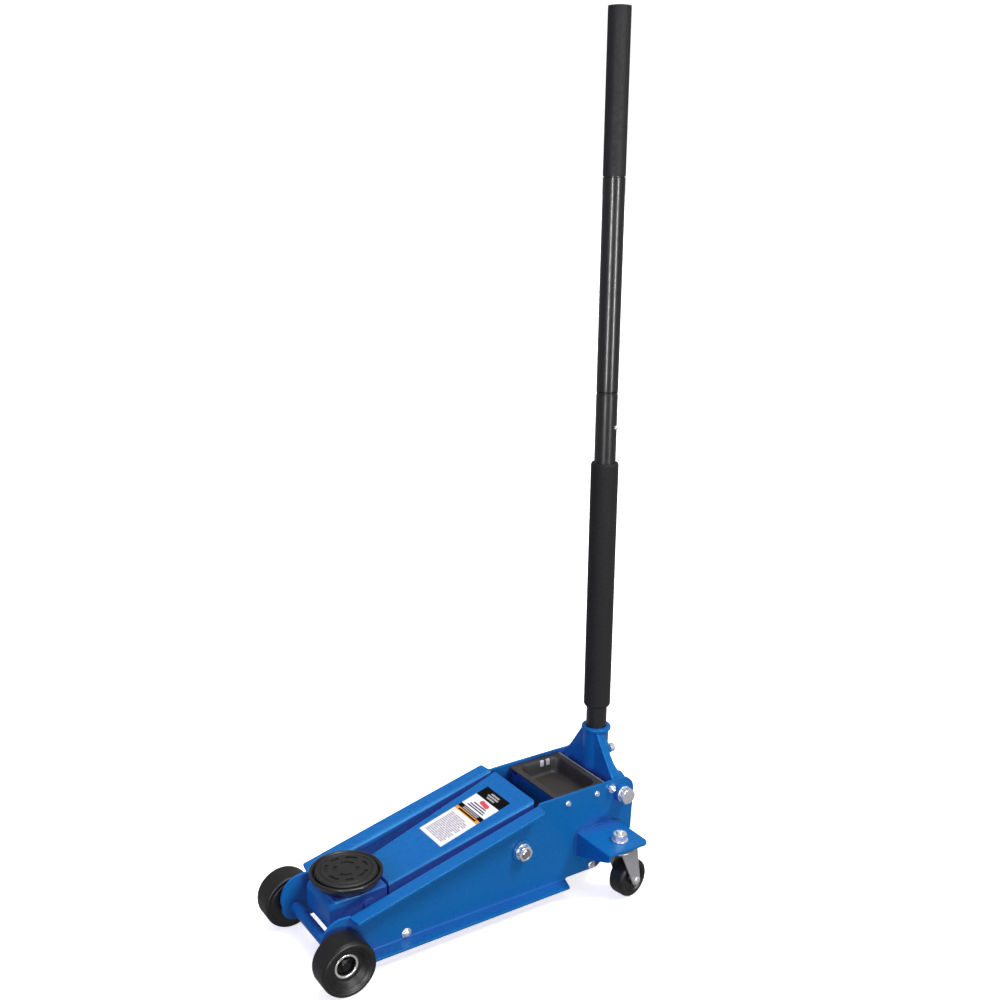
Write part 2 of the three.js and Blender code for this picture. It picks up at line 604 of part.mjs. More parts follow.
function driveFork() {
  const plug = rod("z", HANDLE.r - HANDLE.wall - GAP, 197, 225);
  const stem = rod("z", 9, 178, 198);
  const bridge = box(-6, 6, -13, 13, 173, 180);
  return join(plug, stem, bridge, box(-5, 5, 9, 13, 160, 174), box(-5, 5, -13, -9, 160, 174));
}
add("handle_drive_fork", driveFork(), steel, handle);

function snapButton() {
  const foot = 12.5;
  const head = 21.2;
  const pin = turned([
    [0, foot], [BUTTON.r, foot], [BUTTON.r, head - 1.7], [BUTTON.r - 1.5, head - 0.4], [0, head],
  ], "x", 16);
  return pin.rotate([0, 0, THREE.MathUtils.radToDeg(BUTTON.heading)]).translate([0, 0, BUTTON.z]);
}
add("snap_button", snapButton(), zinc, handle);

// ---- Front wheels ------------------------------------------------------------------------------
function frontWheel() {
  const { r, inner, outer, boreR, dishR, dish } = FRONT_WHEEL;
  return turned([
    [boreR, inner], [r - 2.5, inner], [r, inner + 2.5], [r, outer - 4], [r - 4, outer],
    [dishR, outer], [dishR - 2.5, outer - 3.5], [24.5, dish], [boreR, dish],
  ], "y", 32).translate([AXLE.x, 0, AXLE.z]);
}
addPair("front_wheel", frontWheel(), rubber);

function frontHub() {
  const bore = AXLE.r + FIT;
  const outer = FRONT_WHEEL.boreR - GAP;
  const recess = 14.2;
  const face = FRONT_WHEEL.dish + 0.4;
  return turned([
    [bore, 88], [outer, 88], [outer, face], [recess, face], [recess, 102.5], [bore, 102.5],
  ], "y", 20).translate([AXLE.x, 0, AXLE.z]);
}
addPair("front_hub", frontHub(), zinc);
addPair("front_axle_nut", nut(19, AXLE.r, 103, 111, AXLE.x, AXLE.z), darkSteel);

// ---- Caster brackets and casters ---------------------------------------------------------------
function casterBracket() {
  const { front, rear, outer, top, sheet } = BRACKET;
  const inner = PLATE_OUTER + GAP;
  const plan = new THREE.Shape();
  plan.moveTo(front, inner);
  plan.lineTo(front, outer);
  plan.lineTo(rear + 8, outer);
  plan.quadraticCurveTo(rear, outer, rear, outer - 8);
  plan.lineTo(rear, inner);
  const roof = slab(plan, "xy", top - sheet, top);
  const webShape = outline([[inner, top], [outer, top], [outer, 98], [inner, 65]]);
  const web = slab(webShape, "yz", front - sheet, front);
  const hole = rod("z", 6 + FIT, 100, 120, CASTER.x, CASTER.y);
  return join(roof, web).subtract(hole);
}
addPair("caster_bracket", casterBracket(), bluePaint);

function casterFork() {
  const { trail, wheelR, leg } = CASTER;
  const stem = rod("z", 6, 98, 126);
  const crown = turned([[0, 92], [23, 92], [26, 95], [26, 97], [21, 99], [21, 105.2], [0, 105.2]], "z", 20);
  const legShape = new THREE.Shape();
  legShape.moveTo(15, 95);
  legShape.lineTo(-22, 95);
  legShape.absarc(-trail, wheelR, 9, Math.PI * 1.02, Math.PI * 1.85, false);
  const legs = [leg, -leg - 3].map((from) => slab(legShape, "xz", from, from + 3));
  return join(stem, crown, ...legs).subtract(rod("y", 5 + FIT, -30, 30, -trail, wheelR));
}

function casterWheel() {
  const { trail, wheelR, half } = CASTER;
  const bore = 5 + FIT;
  return turned([
    [bore, -half], [wheelR - 3, -half], [wheelR, -half + 4],
    [wheelR, half - 4], [wheelR - 3, half], [bore, half],
  ], "y", 28).translate([-trail, 0, wheelR]);
}

function casterAxle() {
  const { trail, wheelR, leg } = CASTER;
  const face = leg + 3 + GAP;
  const end = face + 3.2;
  return join(rod("y", 5, -end, end, -trail, wheelR, 16), hex("y", 13, face, end, -trail, wheelR),
    hex("y", 13, -end, -face, -trail, wheelR));
}

function stemNut() {
  const from = BRACKET.top + GAP;
  const washer = rod("z", 14, from, from + 2.5);
  return join(washer, hex("z", 22, from + 2, from + 11)).subtract(rod("z", 6 + FIT, 100, 130));
}

for (const [side, s] of [["left", 1], ["right", -1]]) {
  const caster = new THREE.Group();
  caster.position.set(CASTER.x, s * CASTER.y, 0);
  caster.rotation.z = s * CASTER_HEADING;
  jack.add(caster);
  add(`caster_fork_${side}`, casterFork(), greyCasting, caster);
  add(`caster_wheel_${side}`, casterWheel(), rubber, caster);
  add(`caster_axle_${side}`, casterAxle(), zinc, caster);
  add(`caster_nut_${side}`, stemNut(), zinc, caster);
}

export default jack;
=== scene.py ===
import math
import random

import bmesh
import bpy
from mathutils import Matrix, Vector
from mathutils.geometry import tessellate_polygon


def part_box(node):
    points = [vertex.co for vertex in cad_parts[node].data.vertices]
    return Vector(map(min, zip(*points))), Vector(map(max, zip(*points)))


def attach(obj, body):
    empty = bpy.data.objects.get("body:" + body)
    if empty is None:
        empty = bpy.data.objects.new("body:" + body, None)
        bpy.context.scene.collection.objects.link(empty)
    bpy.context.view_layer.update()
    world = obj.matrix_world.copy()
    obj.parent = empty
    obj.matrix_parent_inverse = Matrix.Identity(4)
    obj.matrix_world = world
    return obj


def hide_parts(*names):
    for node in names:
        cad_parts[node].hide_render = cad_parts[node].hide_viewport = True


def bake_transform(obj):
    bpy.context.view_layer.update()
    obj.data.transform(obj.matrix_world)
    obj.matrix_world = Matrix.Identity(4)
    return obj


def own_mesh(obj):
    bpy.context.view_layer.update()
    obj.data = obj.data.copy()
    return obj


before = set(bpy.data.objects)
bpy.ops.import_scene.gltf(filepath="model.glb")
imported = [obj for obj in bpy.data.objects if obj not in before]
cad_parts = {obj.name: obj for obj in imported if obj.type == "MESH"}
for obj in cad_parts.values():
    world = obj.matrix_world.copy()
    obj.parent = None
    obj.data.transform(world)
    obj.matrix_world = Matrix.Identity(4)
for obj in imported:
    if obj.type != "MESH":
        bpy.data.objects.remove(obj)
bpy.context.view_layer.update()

# Pieces are drawn in millimetres from the front axle, as the CAD is: x forward, y left, z up.
AXLE_X = sum(corner.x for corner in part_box("front_axle")) / 2
TO_FRAME = Matrix.Translation((AXLE_X, 0, 0)) @ Matrix.Scale(0.001, 4)

# ---- Driving dimensions, in millimetres ----
INNER, OUTER, FLANGE = 71, 76, 100  # faces of the left side plate and edge of its flanges
FLOOR_GAP, TOP = 22, 185
AXLE_Z = 45
AXLE = (0, 0, AXLE_Z)
LIFT = (-343, 110.5)
PIVOT = (-552, 158)
CRADLE_PIN = (-75, 88)
ROD_FRONT = (-22, 66)
ROD_REAR = (-290, 88.5)
SADDLE_X, SADDLE_R = -57.5, 58.7
RAM_PIN = (-370.713, 62.5)
RAM_AXIS, PUMP_AXIS = (0, 0, 62.5), (0, 0, 121)
BARREL_END = -396
ROLLER = (-572, 123.359)
STOP = (-529, 172)
PLUNGER_END, PUMP_FACE = -562.1, -500.3
FRONT_TIE, REAR_TIE = (-123, 36), (-491, 36)
CASTER, TRAIL, HEADING = (-502, 137), 24, math.radians(10.5)
CASTER_HUB = (-TRAIL, 0, 33)  # from the caster's stem
CLAMP = (0, 0, 202)
BUTTON_Z, BUTTON_HEADING = 794, math.radians(114)
BETWEEN = 70.7  # half length of a part that fits between the side plates
ROD_SLOTS = ((23, 32), (-32, -23))  # from and to in y, where the radius rods pass
TURN = 2 * math.pi
SIDES = ("left", 1), ("right", -1)


def across(pin):
    """The middle of a cross pin given as (x, z)."""
    return (pin[0], 0, pin[1])


def flange_top(x):
    return 92.8 - 0.241 * x


def arm_top(x):
    return 80.26 - 0.28 * x


def arm_half(x):
    """Half width of the lift arm, which widens towards its pivot."""
    return 44 + (x + 111) * (64 + 1 - 44) / (-399 + 111)


# ---- Outlines ----
def arc(centre, radius, start, end, steps=8):
    """Points on an arc, with its angles in degrees."""
    angles = [math.radians(start + (end - start) * i / steps) for i in range(steps + 1)]
    return [(centre[0] + radius * math.cos(a), centre[1] + radius * math.sin(a)) for a in angles]


def rounded(points, steps=5):
    """A closed outline in which a corner written (u, v, r) becomes an arc of radius r."""
    out = []
    for i, (u, v, *r) in enumerate(points):
        p = Vector((u, v))
        if not r or not r[0]:
            out.append((u, v))
            continue
        a = Vector(points[i - 1][:2]) - p
        b = Vector(points[(i + 1) % len(points)][:2]) - p
        half = a.angle(b) / 2
        reach = min(r[0] / math.tan(half), 0.49 * a.length, 0.49 * b.length)
        radius = reach * math.tan(half)
        middle = p + (a.normalized() + b.normalized()).normalized() * radius / math.sin(half)
        first, last = p + a.normalized() * reach - middle, p + b.normalized() * reach - middle
        sweep = first.angle_signed(last)
        for k in range(steps + 1):
            out.append(tuple(middle + Matrix.Rotation(-sweep * k / steps, 2) @ first))
    return out


def capsule(a, b, radius):
    """A bar with round ends."""
    heading = math.degrees(math.atan2(b[1] - a[1], b[0] - a[0]))
    return arc(a, radius, heading + 90, heading + 270, 10) + arc(b, radius, heading - 90, heading + 90, 10)


def circle(centre, radius, steps=32):
    return arc(centre, radius, 0, 360, steps)[:-1]


def rectangle(u0, u1, v0, v1, radius=0, steps=5):
    return rounded([(u0, v0, radius), (u1, v0, radius), (u1, v1, radius), (u0, v1, radius)], steps)


def symmetric(half):
    """A closed outline from its half on one side of v = 0."""
    return half + [(u, -v, *r) for u, v, *r in half[::-1]]


def area(loop):
    return sum(loop[i - 1][0] * p[1] - p[0] * loop[i - 1][1] for i, p in enumerate(loop)) / 2


def inset(loop, distance):
    """The outline moved towards its left side, with mitred corners."""
    if not distance:
        return list(loop)
    out = []
    for i, p in enumerate(loop):
        before, after = Vector(loop[i - 1]), Vector(loop[(i + 1) % len(loop)])
        here = Vector(p)
        e0, e1 = (here - before).normalized(), (after - here).normalized()
        n0, n1 = Vector((-e0.y, e0.x)), Vector((-e1.y, e1.x))
        out.append(tuple(here + (n0 + n1) * distance / max(0.3, 1 + n0.dot(n1))))
    return out


# ---- Work objects ----
AXES = {
    "x": lambda u, v, w: (w, u, v),
    "y": lambda u, v, w: (u, w, v),
    "z": lambda u, v, w: (u, v, w),
}


def linked(name, data):
    """A new object in the scene."""
    obj = bpy.data.objects.new(name, data)
    bpy.context.scene.collection.objects.link(obj)
    return obj


def work(verts, faces):
    """A closed mesh object that isn't a piece yet."""
    mesh = bpy.data.meshes.new("work")
    mesh.from_pydata([tuple(v) for v in verts], [], faces)
    bm = bmesh.new()
    bm.from_mesh(mesh)
    bmesh.ops.remove_doubles(bm, verts=bm.verts, dist=1e-4)
    bmesh.ops.dissolve_degenerate(bm, edges=bm.edges, dist=1e-5)
    bmesh.ops.recalc_face_normals(bm, faces=bm.faces)
    bm.to_mesh(mesh)
    bm.free()
    return linked("work", mesh)


def band(a, b, n):
    """Faces between two rings of n points, which start at a and b."""
    return [(a + i, a + (i + 1) % n, b + (i + 1) % n, b + i) for i in range(n)]


def stack(rings, closed=False):
    """Joins rings of equally many points into a skin, and its ends with caps or, if closed, to each other."""
    n = len(rings[0])
    verts = [p for ring in rings for p in ring]
    faces = []
    for k in range(len(rings) if closed else len(rings) - 1):
        faces += band(k * n, (k + 1) % len(rings) * n, n)
    if not closed:
        last = (len(rings) - 1) * n
        for start, ring in ((0, rings[0]), (last, rings[-1])):
            faces += [tuple(start + i for i in t) for t in tessellate_polygon([[Vector(p) for p in ring]])]
    return work(verts, faces)


def slab(loop, axis, a, b, edge=0.5, holes=(), steps=2):
    """An outline given thickness from a to b along an axis, with rounded edges."""
    loops = [loop if area(loop) > 0 else loop[::-1]]
    loops += [h if area(h) < 0 else h[::-1] for h in holes]
    levels = [(edge * (1 - math.sin(t)), a + edge * (1 - math.cos(t)))
              for t in (math.pi / 2 * k / steps for k in range(steps + 1))] if edge else [(0, a)]
    levels += [(d, a + b - h) for d, h in reversed(levels)]
    verts, faces, caps = [], [], {0: [], len(levels) - 1: []}
    for points in loops:
        n, base = len(points), len(verts)
        for k, (d, h) in enumerate(levels):
            moved = inset(points, d)
            if k in caps:
                caps[k].append((len(verts), moved))
            verts += [AXES[axis](u, v, h) for u, v in moved]
        for k in range(len(levels) - 1):
            faces += band(base + k * n, base + (k + 1) * n, n)
    for parts in caps.values():
        index = [start + i for start, points in parts for i in range(len(points))]
        flat = tessellate_polygon([[Vector((u, v, 0)) for u, v in points] for _, points in parts])
        faces += [tuple(index[i] for i in t) for t in flat]
    return work(verts, faces)


def lathe(profile, axis, at, steps):
    """Turns a closed outline of (radius, height), or functions of the angle, about an axis through at."""
    rings = []
    for r, h in profile:
        ring = []
        for i in range(steps):
            t = TURN * (i + 0.5) / steps
            radius = r(t) if callable(r) else r
            height = h(t) if callable(h) else h
            ring.append(Vector(AXES[axis](radius * math.cos(t), radius * math.sin(t), height)) + Vector(at))
        rings.append(ring)
    return stack(rings, closed=True)


def turned(points, axis="z", at=(0, 0, 0), steps=56, arcs=3):
    return lathe(rounded(points, arcs), axis, at, steps)


def rod(axis, radius, a, b, at=(0, 0, 0), edge=0.6, steps=32):
    return turned([(0, a), (radius, a, edge), (radius, b, edge), (0, b)], axis, at, steps, 2)


def drill(pin, radius, a, b):
    """A cutter for the bore of a cross pin given as (x, z)."""
    return rod("y", radius, a, b, across(pin), 0)


def hexagon(flats, a, b, axis, at, bore=0):
    """A bolt head, or with a bore a nut, whose corners are cut by a cone."""
    flat_r = flats / 2 * 0.95

    def reach(t):
        return flats / 2 / math.cos(t % (TURN / 6) - TURN / 12)

    def slope(t):
        return (reach(t) - flat_r) * 0.577

    foot = [(bore, a), (flat_r, a), (reach, lambda t: a + slope(t))] if bore else [(bore, a), (reach, a)]
    top = [(reach, lambda t: b - slope(t)), (flat_r, b), (bore + 0.8 if bore else 0, b)]
    end = [(bore, b - 0.8), (bore, a + 0.8)] if bore else []
    return lathe(foot + top + end, axis, at, 60)


def tube(path, radius, sides, flat=1.0):
    """A round skin along a path. The radius may be a function of the share of the path."""
    path = [Vector(p) for p in path]
    side = (path[1] - path[0]).normalized().orthogonal().normalized()
    rings = []
    for i, p in enumerate(path):
        along = (path[min(i + 1, len(path) - 1)] - path[max(i - 1, 0)]).normalized()
        side = (side - along * side.dot(along)).normalized()
        other = along.cross(side)
        r = radius(i / (len(path) - 1)) if callable(radius) else radius
        rings.append([p + (side * math.cos(t) + other * math.sin(t) * flat) * r
                      for t in (TURN * k / sides for k in range(sides))])
    return stack(rings)


def coil(axis_point, x0, x1, radius, wire, turns):
    """A wound spring along x, about the axis through (y, z)."""
    steps = int(turns * 20)
    path = []
    for i in range(steps + 1):
        share = i / steps
        t = TURN * turns * share
        x = x0 + wire + (x1 - x0 - 2 * wire) * share
        path.append((x, axis_point[0] + radius * math.cos(t), axis_point[1] + radius * math.sin(t)))
    return tube(path, wire, 8)


def modified(obj, kind, **values):
    modifier = obj.modifiers.new(kind.lower(), kind)
    for key, value in values.items():
        setattr(modifier, key, value)


def evaluated(obj):
    """Applies an object's modifiers to its mesh."""
    depsgraph = bpy.context.evaluated_depsgraph_get()
    mesh = bpy.data.meshes.new_from_object(obj.evaluated_get(depsgraph))
    obj.modifiers.clear()
    obj.data = mesh
    return obj


def combine(operation, obj, *others):
    for other in others:
        modified(obj, "BOOLEAN", operation=operation, solver="MANIFOLD", object=other)
    evaluated(obj)
    for other in others:
        bpy.data.objects.remove(other)
    return obj


def union(*objs):
    return combine("UNION", *objs)


def cut(*objs):
    return combine("DIFFERENCE", *objs)


def common(*objs):
    return combine("INTERSECT", *objs)


def gathered(*objs):
    """Several closed skins in one object."""
    bm = bmesh.new()
    for o in objs:
        bm.from_mesh(o.data)
        bpy.data.objects.remove(o)
    mesh = bpy.data.meshes.new("work")
    bm.to_mesh(mesh)
    bm.free()
    return linked("work", mesh)


def softened(obj, width):
    """Rounds the sharp edges that joining and cutting leave."""
    bm = bmesh.new()
    bm.from_mesh(obj.data)
    bmesh.ops.remove_doubles(bm, verts=bm.verts, dist=0.01)
    bmesh.ops.dissolve_limit(bm, angle_limit=math.radians(1), verts=bm.verts, edges=bm.edges)
    bm.to_mesh(obj.data)
    bm.free()
    modified(obj, "BEVEL", width=width, segments=2, limit_method="ANGLE",
             angle_limit=math.radians(40), use_clamp_overlap=True, miter_outer="MITER_ARC")
    return evaluated(obj)


def cast(obj, voxel, keep):
    """Runs the joints of a casting into each other with soft fillets."""
    modified(obj, "REMESH", mode="VOXEL", voxel_size=voxel)
    modified(obj, "SMOOTH", factor=0.5, iterations=5)
    modified(obj, "DECIMATE", ratio=keep)
    return evaluated(obj)


def mirrored(obj):
    copy = linked("work", obj.data.copy())
    copy.data.transform(Matrix.Scale(-1, 4, (0, 1, 0)))
    copy.data.flip_normals()
    return copy


def placed(obj, matrix):
    obj.data.transform(matrix)
    return obj


def dressed(obj, name, material):
    """Brings a work object into the frame, with a name and a smooth surface."""
    obj.name = obj.data.name = name
    obj.data.transform(TO_FRAME)
    obj.data.polygons.foreach_set("use_smooth", [True] * len(obj.data.polygons))
    obj.data.materials.clear()
    obj.data.materials.append(material)


def piece(name, obj, finish, node="", body="chassis", sharp=38):
    """A piece that rides on a body and may take the place of a CAD node, which it then hides. A finish is
    (material, slot); the slot is not used.
    """
    material, slot = finish
    dressed(obj, name, material)
    obj.data.set_sharp_from_angle(angle=math.radians(sharp))
    modified(obj, "WEIGHTED_NORMAL", keep_sharp=True)
    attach(obj, body)
    if node:
        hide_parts(node)


def pair(name, obj, finish, node="", body="chassis"):
    """A left piece and its mirror image on the right. {} in a name stands for the side."""
    for side, half in (("left", obj), ("right", mirrored(obj))):
        piece(name.format(side), half, finish, node.format(side), body)


# ---- Materials ----
def linear(r, g, b):
    """A colour picked as 0 to 255, as the shader wants it."""
    return (*(c / 255 / 12.92 if c <= 10 else ((c / 255 + 0.055) / 1.055) ** 2.4 for c in (r, g, b)), 1)


class Finish:
    """A node-built surface. Positions are in metres on the piece."""

    def __init__(self, name, metallic=0.0, specular=0.5, coat=0.0, coat_roughness=0.1, sheen=0.0):
        self.material = bpy.data.materials.new(name)
        self.material.use_nodes = True
        self.tree = self.material.node_tree
        self.shader = self.tree.nodes["Principled BSDF"]
        self.set("Metallic", metallic)
        self.set("Specular IOR Level", specular)
        self.set("Coat Weight", coat)
        self.set("Coat Roughness", coat_roughness)
        self.set("Sheen Weight", sheen)
        self.place = self.node("ShaderNodeTexCoord").outputs["Object"]

    def set(self, socket, value):
        self.shader.inputs[socket].default_value = value

    def node(self, kind, **values):
        node = self.tree.nodes.new(kind)
        for key, value in values.items():
            setattr(node, key, value)
        return node

    def link(self, a, b):
        self.tree.links.new(a, b)

    def noise(self, scale, detail):
        node = self.node("ShaderNodeTexNoise")
        node.inputs["Scale"].default_value = scale
        node.inputs["Detail"].default_value = detail
        self.link(self.place, node.inputs["Vector"])
        return node.outputs["Fac"]

    def ramp(self, value, stops):
        node = self.node("ShaderNodeValToRGB")
        elements = node.color_ramp.elements
        while len(elements) < len(stops):
            elements.new(0.5)
        for element, (position, colour) in zip(elements, stops):
            element.position = position
            element.color = colour if isinstance(colour, tuple) else (colour, colour, colour, 1)
        self.link(value, node.inputs["Fac"])
        return node.outputs["Color"]

    def mixed(self, share, a, b):
        node = self.node("ShaderNodeMix", data_type="RGBA")
        self.link(share, node.inputs[0])
        for value, socket in ((a, node.inputs[6]), (b, node.inputs[7])):
            if isinstance(value, tuple):
                socket.default_value = value
            else:
                self.link(value, socket)
        return node.outputs[2]

    def colour(self, output):
        self.link(output, self.shader.inputs["Base Color"])

    def roughness(self, value, low, high):
        self.link(self.ramp(value, [(0.3, low), (0.7, high)]), self.shader.inputs["Roughness"])

    def bump(self, *layers):
        """Layers of (height, strength, distance in metres)."""
        previous = None
        for height, strength, distance in layers:
            node = self.node("ShaderNodeBump")
            node.inputs["Strength"].default_value = strength
            node.inputs["Distance"].default_value = distance
            self.link(height, node.inputs["Height"])
            if previous:
                self.link(previous, node.inputs["Normal"])
            previous = node.outputs["Normal"]
        self.link(previous, self.shader.inputs["Normal"])


def blue_paint():
    """Smooth enamel with painted shade: its colour turns to purple where the surface is enclosed by others.
    """
    f = Finish("blue_paint", specular=0.3)
    f.set("Specular Tint", (0.3, 0.75, 1, 1))
    tone = f.mixed(f.noise(5, 2), linear(15, 99, 165), linear(20, 106, 174))
    specks = f.ramp(f.noise(900, 3), [(0.64, 0.0), (0.8, 0.25)])
    tone = f.mixed(specks, tone, linear(10, 78, 148))
    # Painted shade: an ambient occlusion mask darkens the blue to purple in recesses, in gaps and between
    # parts.
    shade_occlusion = f.node("ShaderNodeAmbientOcclusion", samples=8)
    shade_occlusion.inputs["Distance"].default_value = 0.06
    painted_shade = f.ramp(shade_occlusion.outputs["AO"], [(0.22, 0.9), (0.66, 0.0)])
    f.colour(f.mixed(painted_shade, tone, linear(70, 78, 172)))
    f.roughness(f.noise(60, 4), 0.24, 0.32)
    f.bump((f.noise(240, 2), 0.03, 0.0004))
    return f.material


def black_rubber():
    f = Finish("black_rubber", specular=0.35)
    tone = f.mixed(f.noise(45, 4), linear(27, 28, 27), linear(38, 38, 36))
    scuffs = f.ramp(f.noise(420, 5), [(0.6, 0.0), (0.8, 0.35)])
    f.colour(f.mixed(scuffs, tone, linear(58, 57, 55)))
    f.roughness(f.noise(160, 4), 0.48, 0.68)
    f.bump((f.noise(1300, 4), 0.25, 0.0002))
    return f.material


def black_foam():
    f = Finish("black_foam", specular=0.3, sheen=0.04)
    cells = f.node("ShaderNodeTexVoronoi")
    cells.inputs["Scale"].default_value = 900
    f.link(f.place, cells.inputs["Vector"])
    f.colour(f.mixed(f.noise(25, 4), linear(14, 14, 15), linear(24, 24, 24)))
    f.roughness(f.noise(300, 3), 0.62, 0.8)
    f.bump((cells.outputs["Distance"], 0.5, 0.0004), (f.noise(60, 3), 0.1, 0.001))
    return f.material


def mottled(name, tones, tone, gloss, *grain, **shader):
    """Two tones mixed by noise, uneven gloss and layers of grain.

    A tone is (scale, detail), gloss (scale, detail, low, high) and grain (scale, detail, strength, metres).
    """
    f = Finish(name, **shader)
    f.colour(f.mixed(f.noise(*tone), *(linear(*t) for t in tones)))
    f.roughness(f.noise(*gloss[:2]), *gloss[2:])
    f.bump(*((f.noise(*g[:2]), *g[2:]) for g in grain))
    return f.material


def ink(name, *tones):
    return mottled(name, tones, (350, 3), (120, 3, 0.34, 0.46), (700, 2, 0.05, 0.0001), specular=0.08)


BLUE = blue_paint(), "blue_paint"
RUBBER = black_rubber(), "black_rubber"
FOAM = black_foam(), "black_foam"
ZINC = mottled("zinc_plate", ((226, 227, 228), (240, 240, 237)), (90, 2), (140, 2, 0.22, 0.3),
               (300, 2, 0.02, 0.0001), metallic=0.72), "zinc_plate"
CLIP = mottled("satin_clip", ((244, 244, 243), (252, 252, 250)), (90, 2), (140, 2, 0.36, 0.44),
               (300, 2, 0.02, 0.0001), specular=0.5), "zinc_plate"
STEEL = mottled("turned_steel", ((156, 159, 163), (182, 184, 188)), (70, 2), (120, 2, 0.24, 0.34),
                (70, 2, 0.04, 0.0001), metallic=0.9), "bright_steel"
DARK = mottled("dark_steel", ((38, 39, 42), (62, 62, 64)), (200, 3), (500, 3, 0.3, 0.5),
               (900, 3, 0.15, 0.0002), metallic=0.9), "dark_steel"
GREY = mottled("grey_metal", ((158, 159, 160), (188, 188, 188)), (70, 3), (260, 4, 0.3, 0.48),
               (700, 4, 0.2, 0.0003), metallic=0.5), "grey_metal"
BLACK = mottled("black_paint", ((18, 18, 19), (27, 26, 25)), (30, 3), (180, 4, 0.28, 0.4),
                (1100, 3, 0.05, 0.0002), specular=0.5, coat=0.3, coat_roughness=0.12), "black_paint"
TRAY = mottled("tray_black", ((48, 47, 44), (60, 58, 54)), (30, 3), (180, 4, 0.42, 0.55),
               (1000, 4, 0.25, 0.0002), (120, 2, 0.04, 0.0005), specular=0.35), "black_paint"
PLASTIC = mottled("black_plastic", ((20, 20, 21), (30, 30, 30)), (50, 3), (240, 4, 0.32, 0.46),
                  (1400, 2, 0.15, 0.0002), specular=0.5), "black_plastic"
WHEEL = mottled("wheel_black", ((12, 12, 13), (22, 21, 20)), (40, 4), (150, 4, 0.34, 0.5),
                (800, 4, 0.15, 0.0002), specular=0.5), "black_rubber"


# ---- Chassis ----
def side_plate():
    """The left plate: a web with a folded flange along its sloping top and another along its foot."""
    corner_r = TOP - PIVOT[1]
    outline = arc((0, AXLE_Z), 23, -90, 10, 12) + arc((-14, 61.5), 38.5, -18, 90, 20)
    outline += [(-27, flange_top(-27)), (-31, 84), (-372, 168), (-378, flange_top(-378))]
    outline += rounded([(-378, flange_top(-378)), (-384, TOP, 5), (-400, TOP)])[1:]
    outline += arc((-553, PIVOT[1]), corner_r, 90, 180, 14)
    outline += rounded([(-580, 150), (-576, 78, 14), (-502, 28, 10), (-450, 28)])[1:]
    outline += rounded([(-450, 28), (-437, 28, 3), (-433, 22), (-425, 34)])[1:]
    outline += [(-58, 34), (-52, 22)]
    web = slab(outline, "y", INNER, OUTER, 0.7)

    fold, t = 7.5, 5
    upper = [(INNER, -14)] + arc((INNER + fold, -fold), fold, 180, 90, 6) + rounded(
        [(INNER + fold, 0), (FLANGE, 0, 1), (FLANGE, -t, 1), (INNER + fold, -t)])[1:]
    upper += arc((INNER + fold, -fold), fold - t, 90, 180, 4) + [(OUTER, -14)]
    top_strip = stack([[(x, y, flange_top(x) + z) for y, z in upper] for x in (-12, -400)])
    plan = rounded([(-24, 60), (-24, INNER + 1), (-28.5, FLANGE + 3), (-371, FLANGE + 3), (-371, FLANGE),
                    (-374, FLANGE - 3), (-375.5, 80), (-383, INNER), (-383, 60)])
    top_strip = common(top_strip, slab(plan, "z", 60, 240, 0))

    lower = [(y, FLOOR_GAP - z) for y, z in upper]
    foot = stack([[(x, y, z) for y, z in lower] for x in (-20, -460)])
    plan = [(-50, 60), (-50, INNER), (-55.5, FLANGE + 3), (-426, FLANGE + 3), (-436, INNER), (-436, 60)]
    foot = common(foot, slab(plan, "z", 0, 50, 0))

    pivot_boss = turned([(0, 74), (17, 74), (16.5, OUTER), (15.5, 83.5, 1.2), (0, 83.5)], "y", across(PIVOT))
    lift_boss = turned([(0, 74), (21, 74), (20.5, OUTER), (19, 78.5, 0.8), (0, 78.5)], "y", across(LIFT))
    plate = union(web, top_strip, foot, pivot_boss, lift_boss)
    holes = ((0, AXLE_Z), 8.4), (LIFT, 8.4), (PIVOT, 8.4), (FRONT_TIE, 5.4), (REAR_TIE, 4.4)
    return cut(plate, *(drill(pin, r, 60, 95) for pin, r in holes))


def weld(points, radius):
    """A bead with the ripples of a hand weld along a line of points."""
    path = []
    for a, b in zip(points, points[1:]):
        a, b = Vector(a), Vector(b)
        count = max(2, int((b - a).length / 1.2))
        path += [a.lerp(b, i / count) for i in range(count)]
    path.append(Vector(points[-1]))
    total = len(path)

    def thick(share):
        ends = min(1, 6 * share + 0.35, 6 * (1 - share) + 0.35)
        return radius * ends * (0.88 + 0.16 * abs(math.sin(share * total * 0.9)))

    return tube(path, thick, 10, 0.8)


pair("folded_side_plate_{}", side_plate(), BLUE, "side_plate_{}")

axle_bar = turned(symmetric([(0, -79), (8, -79), (8, -BETWEEN), (9.3, -BETWEEN, 0.5)]), "y", AXLE)
piece("axle_bar", axle_bar, BLUE, "front_axle")


def stud_end(radius, a, b, axis, at, pitch=1.25):
    """The threaded end of a bolt, with a ring for each turn of thread."""
    forward = 1 if b > a else -1
    profile = [(0, a)]
    for k in range(int(abs(b - a) / pitch) - 1):
        base = a + forward * k * pitch
        profile += [(radius, base + forward * 0.2), (radius, base + forward * 0.5),
                    (radius - 0.55, base + forward * 0.95)]
    profile += [(radius - 0.6, b - forward * 0.8), (radius - 1.3, b), (0, b)]
    return lathe(profile, axis, at, 32)


journal = gathered(rod("y", 8, 79.1, 102.5, AXLE), stud_end(8, 102.5, 113, "y", AXLE, 1.5))
lock_nut = hexagon(19, 103.2, 110.8, "y", AXLE, 8.1)
pair("axle_journal_{}", journal, DARK)
pair("axle_lock_nut_{}", lock_nut, DARK, "front_axle_nut_{}")


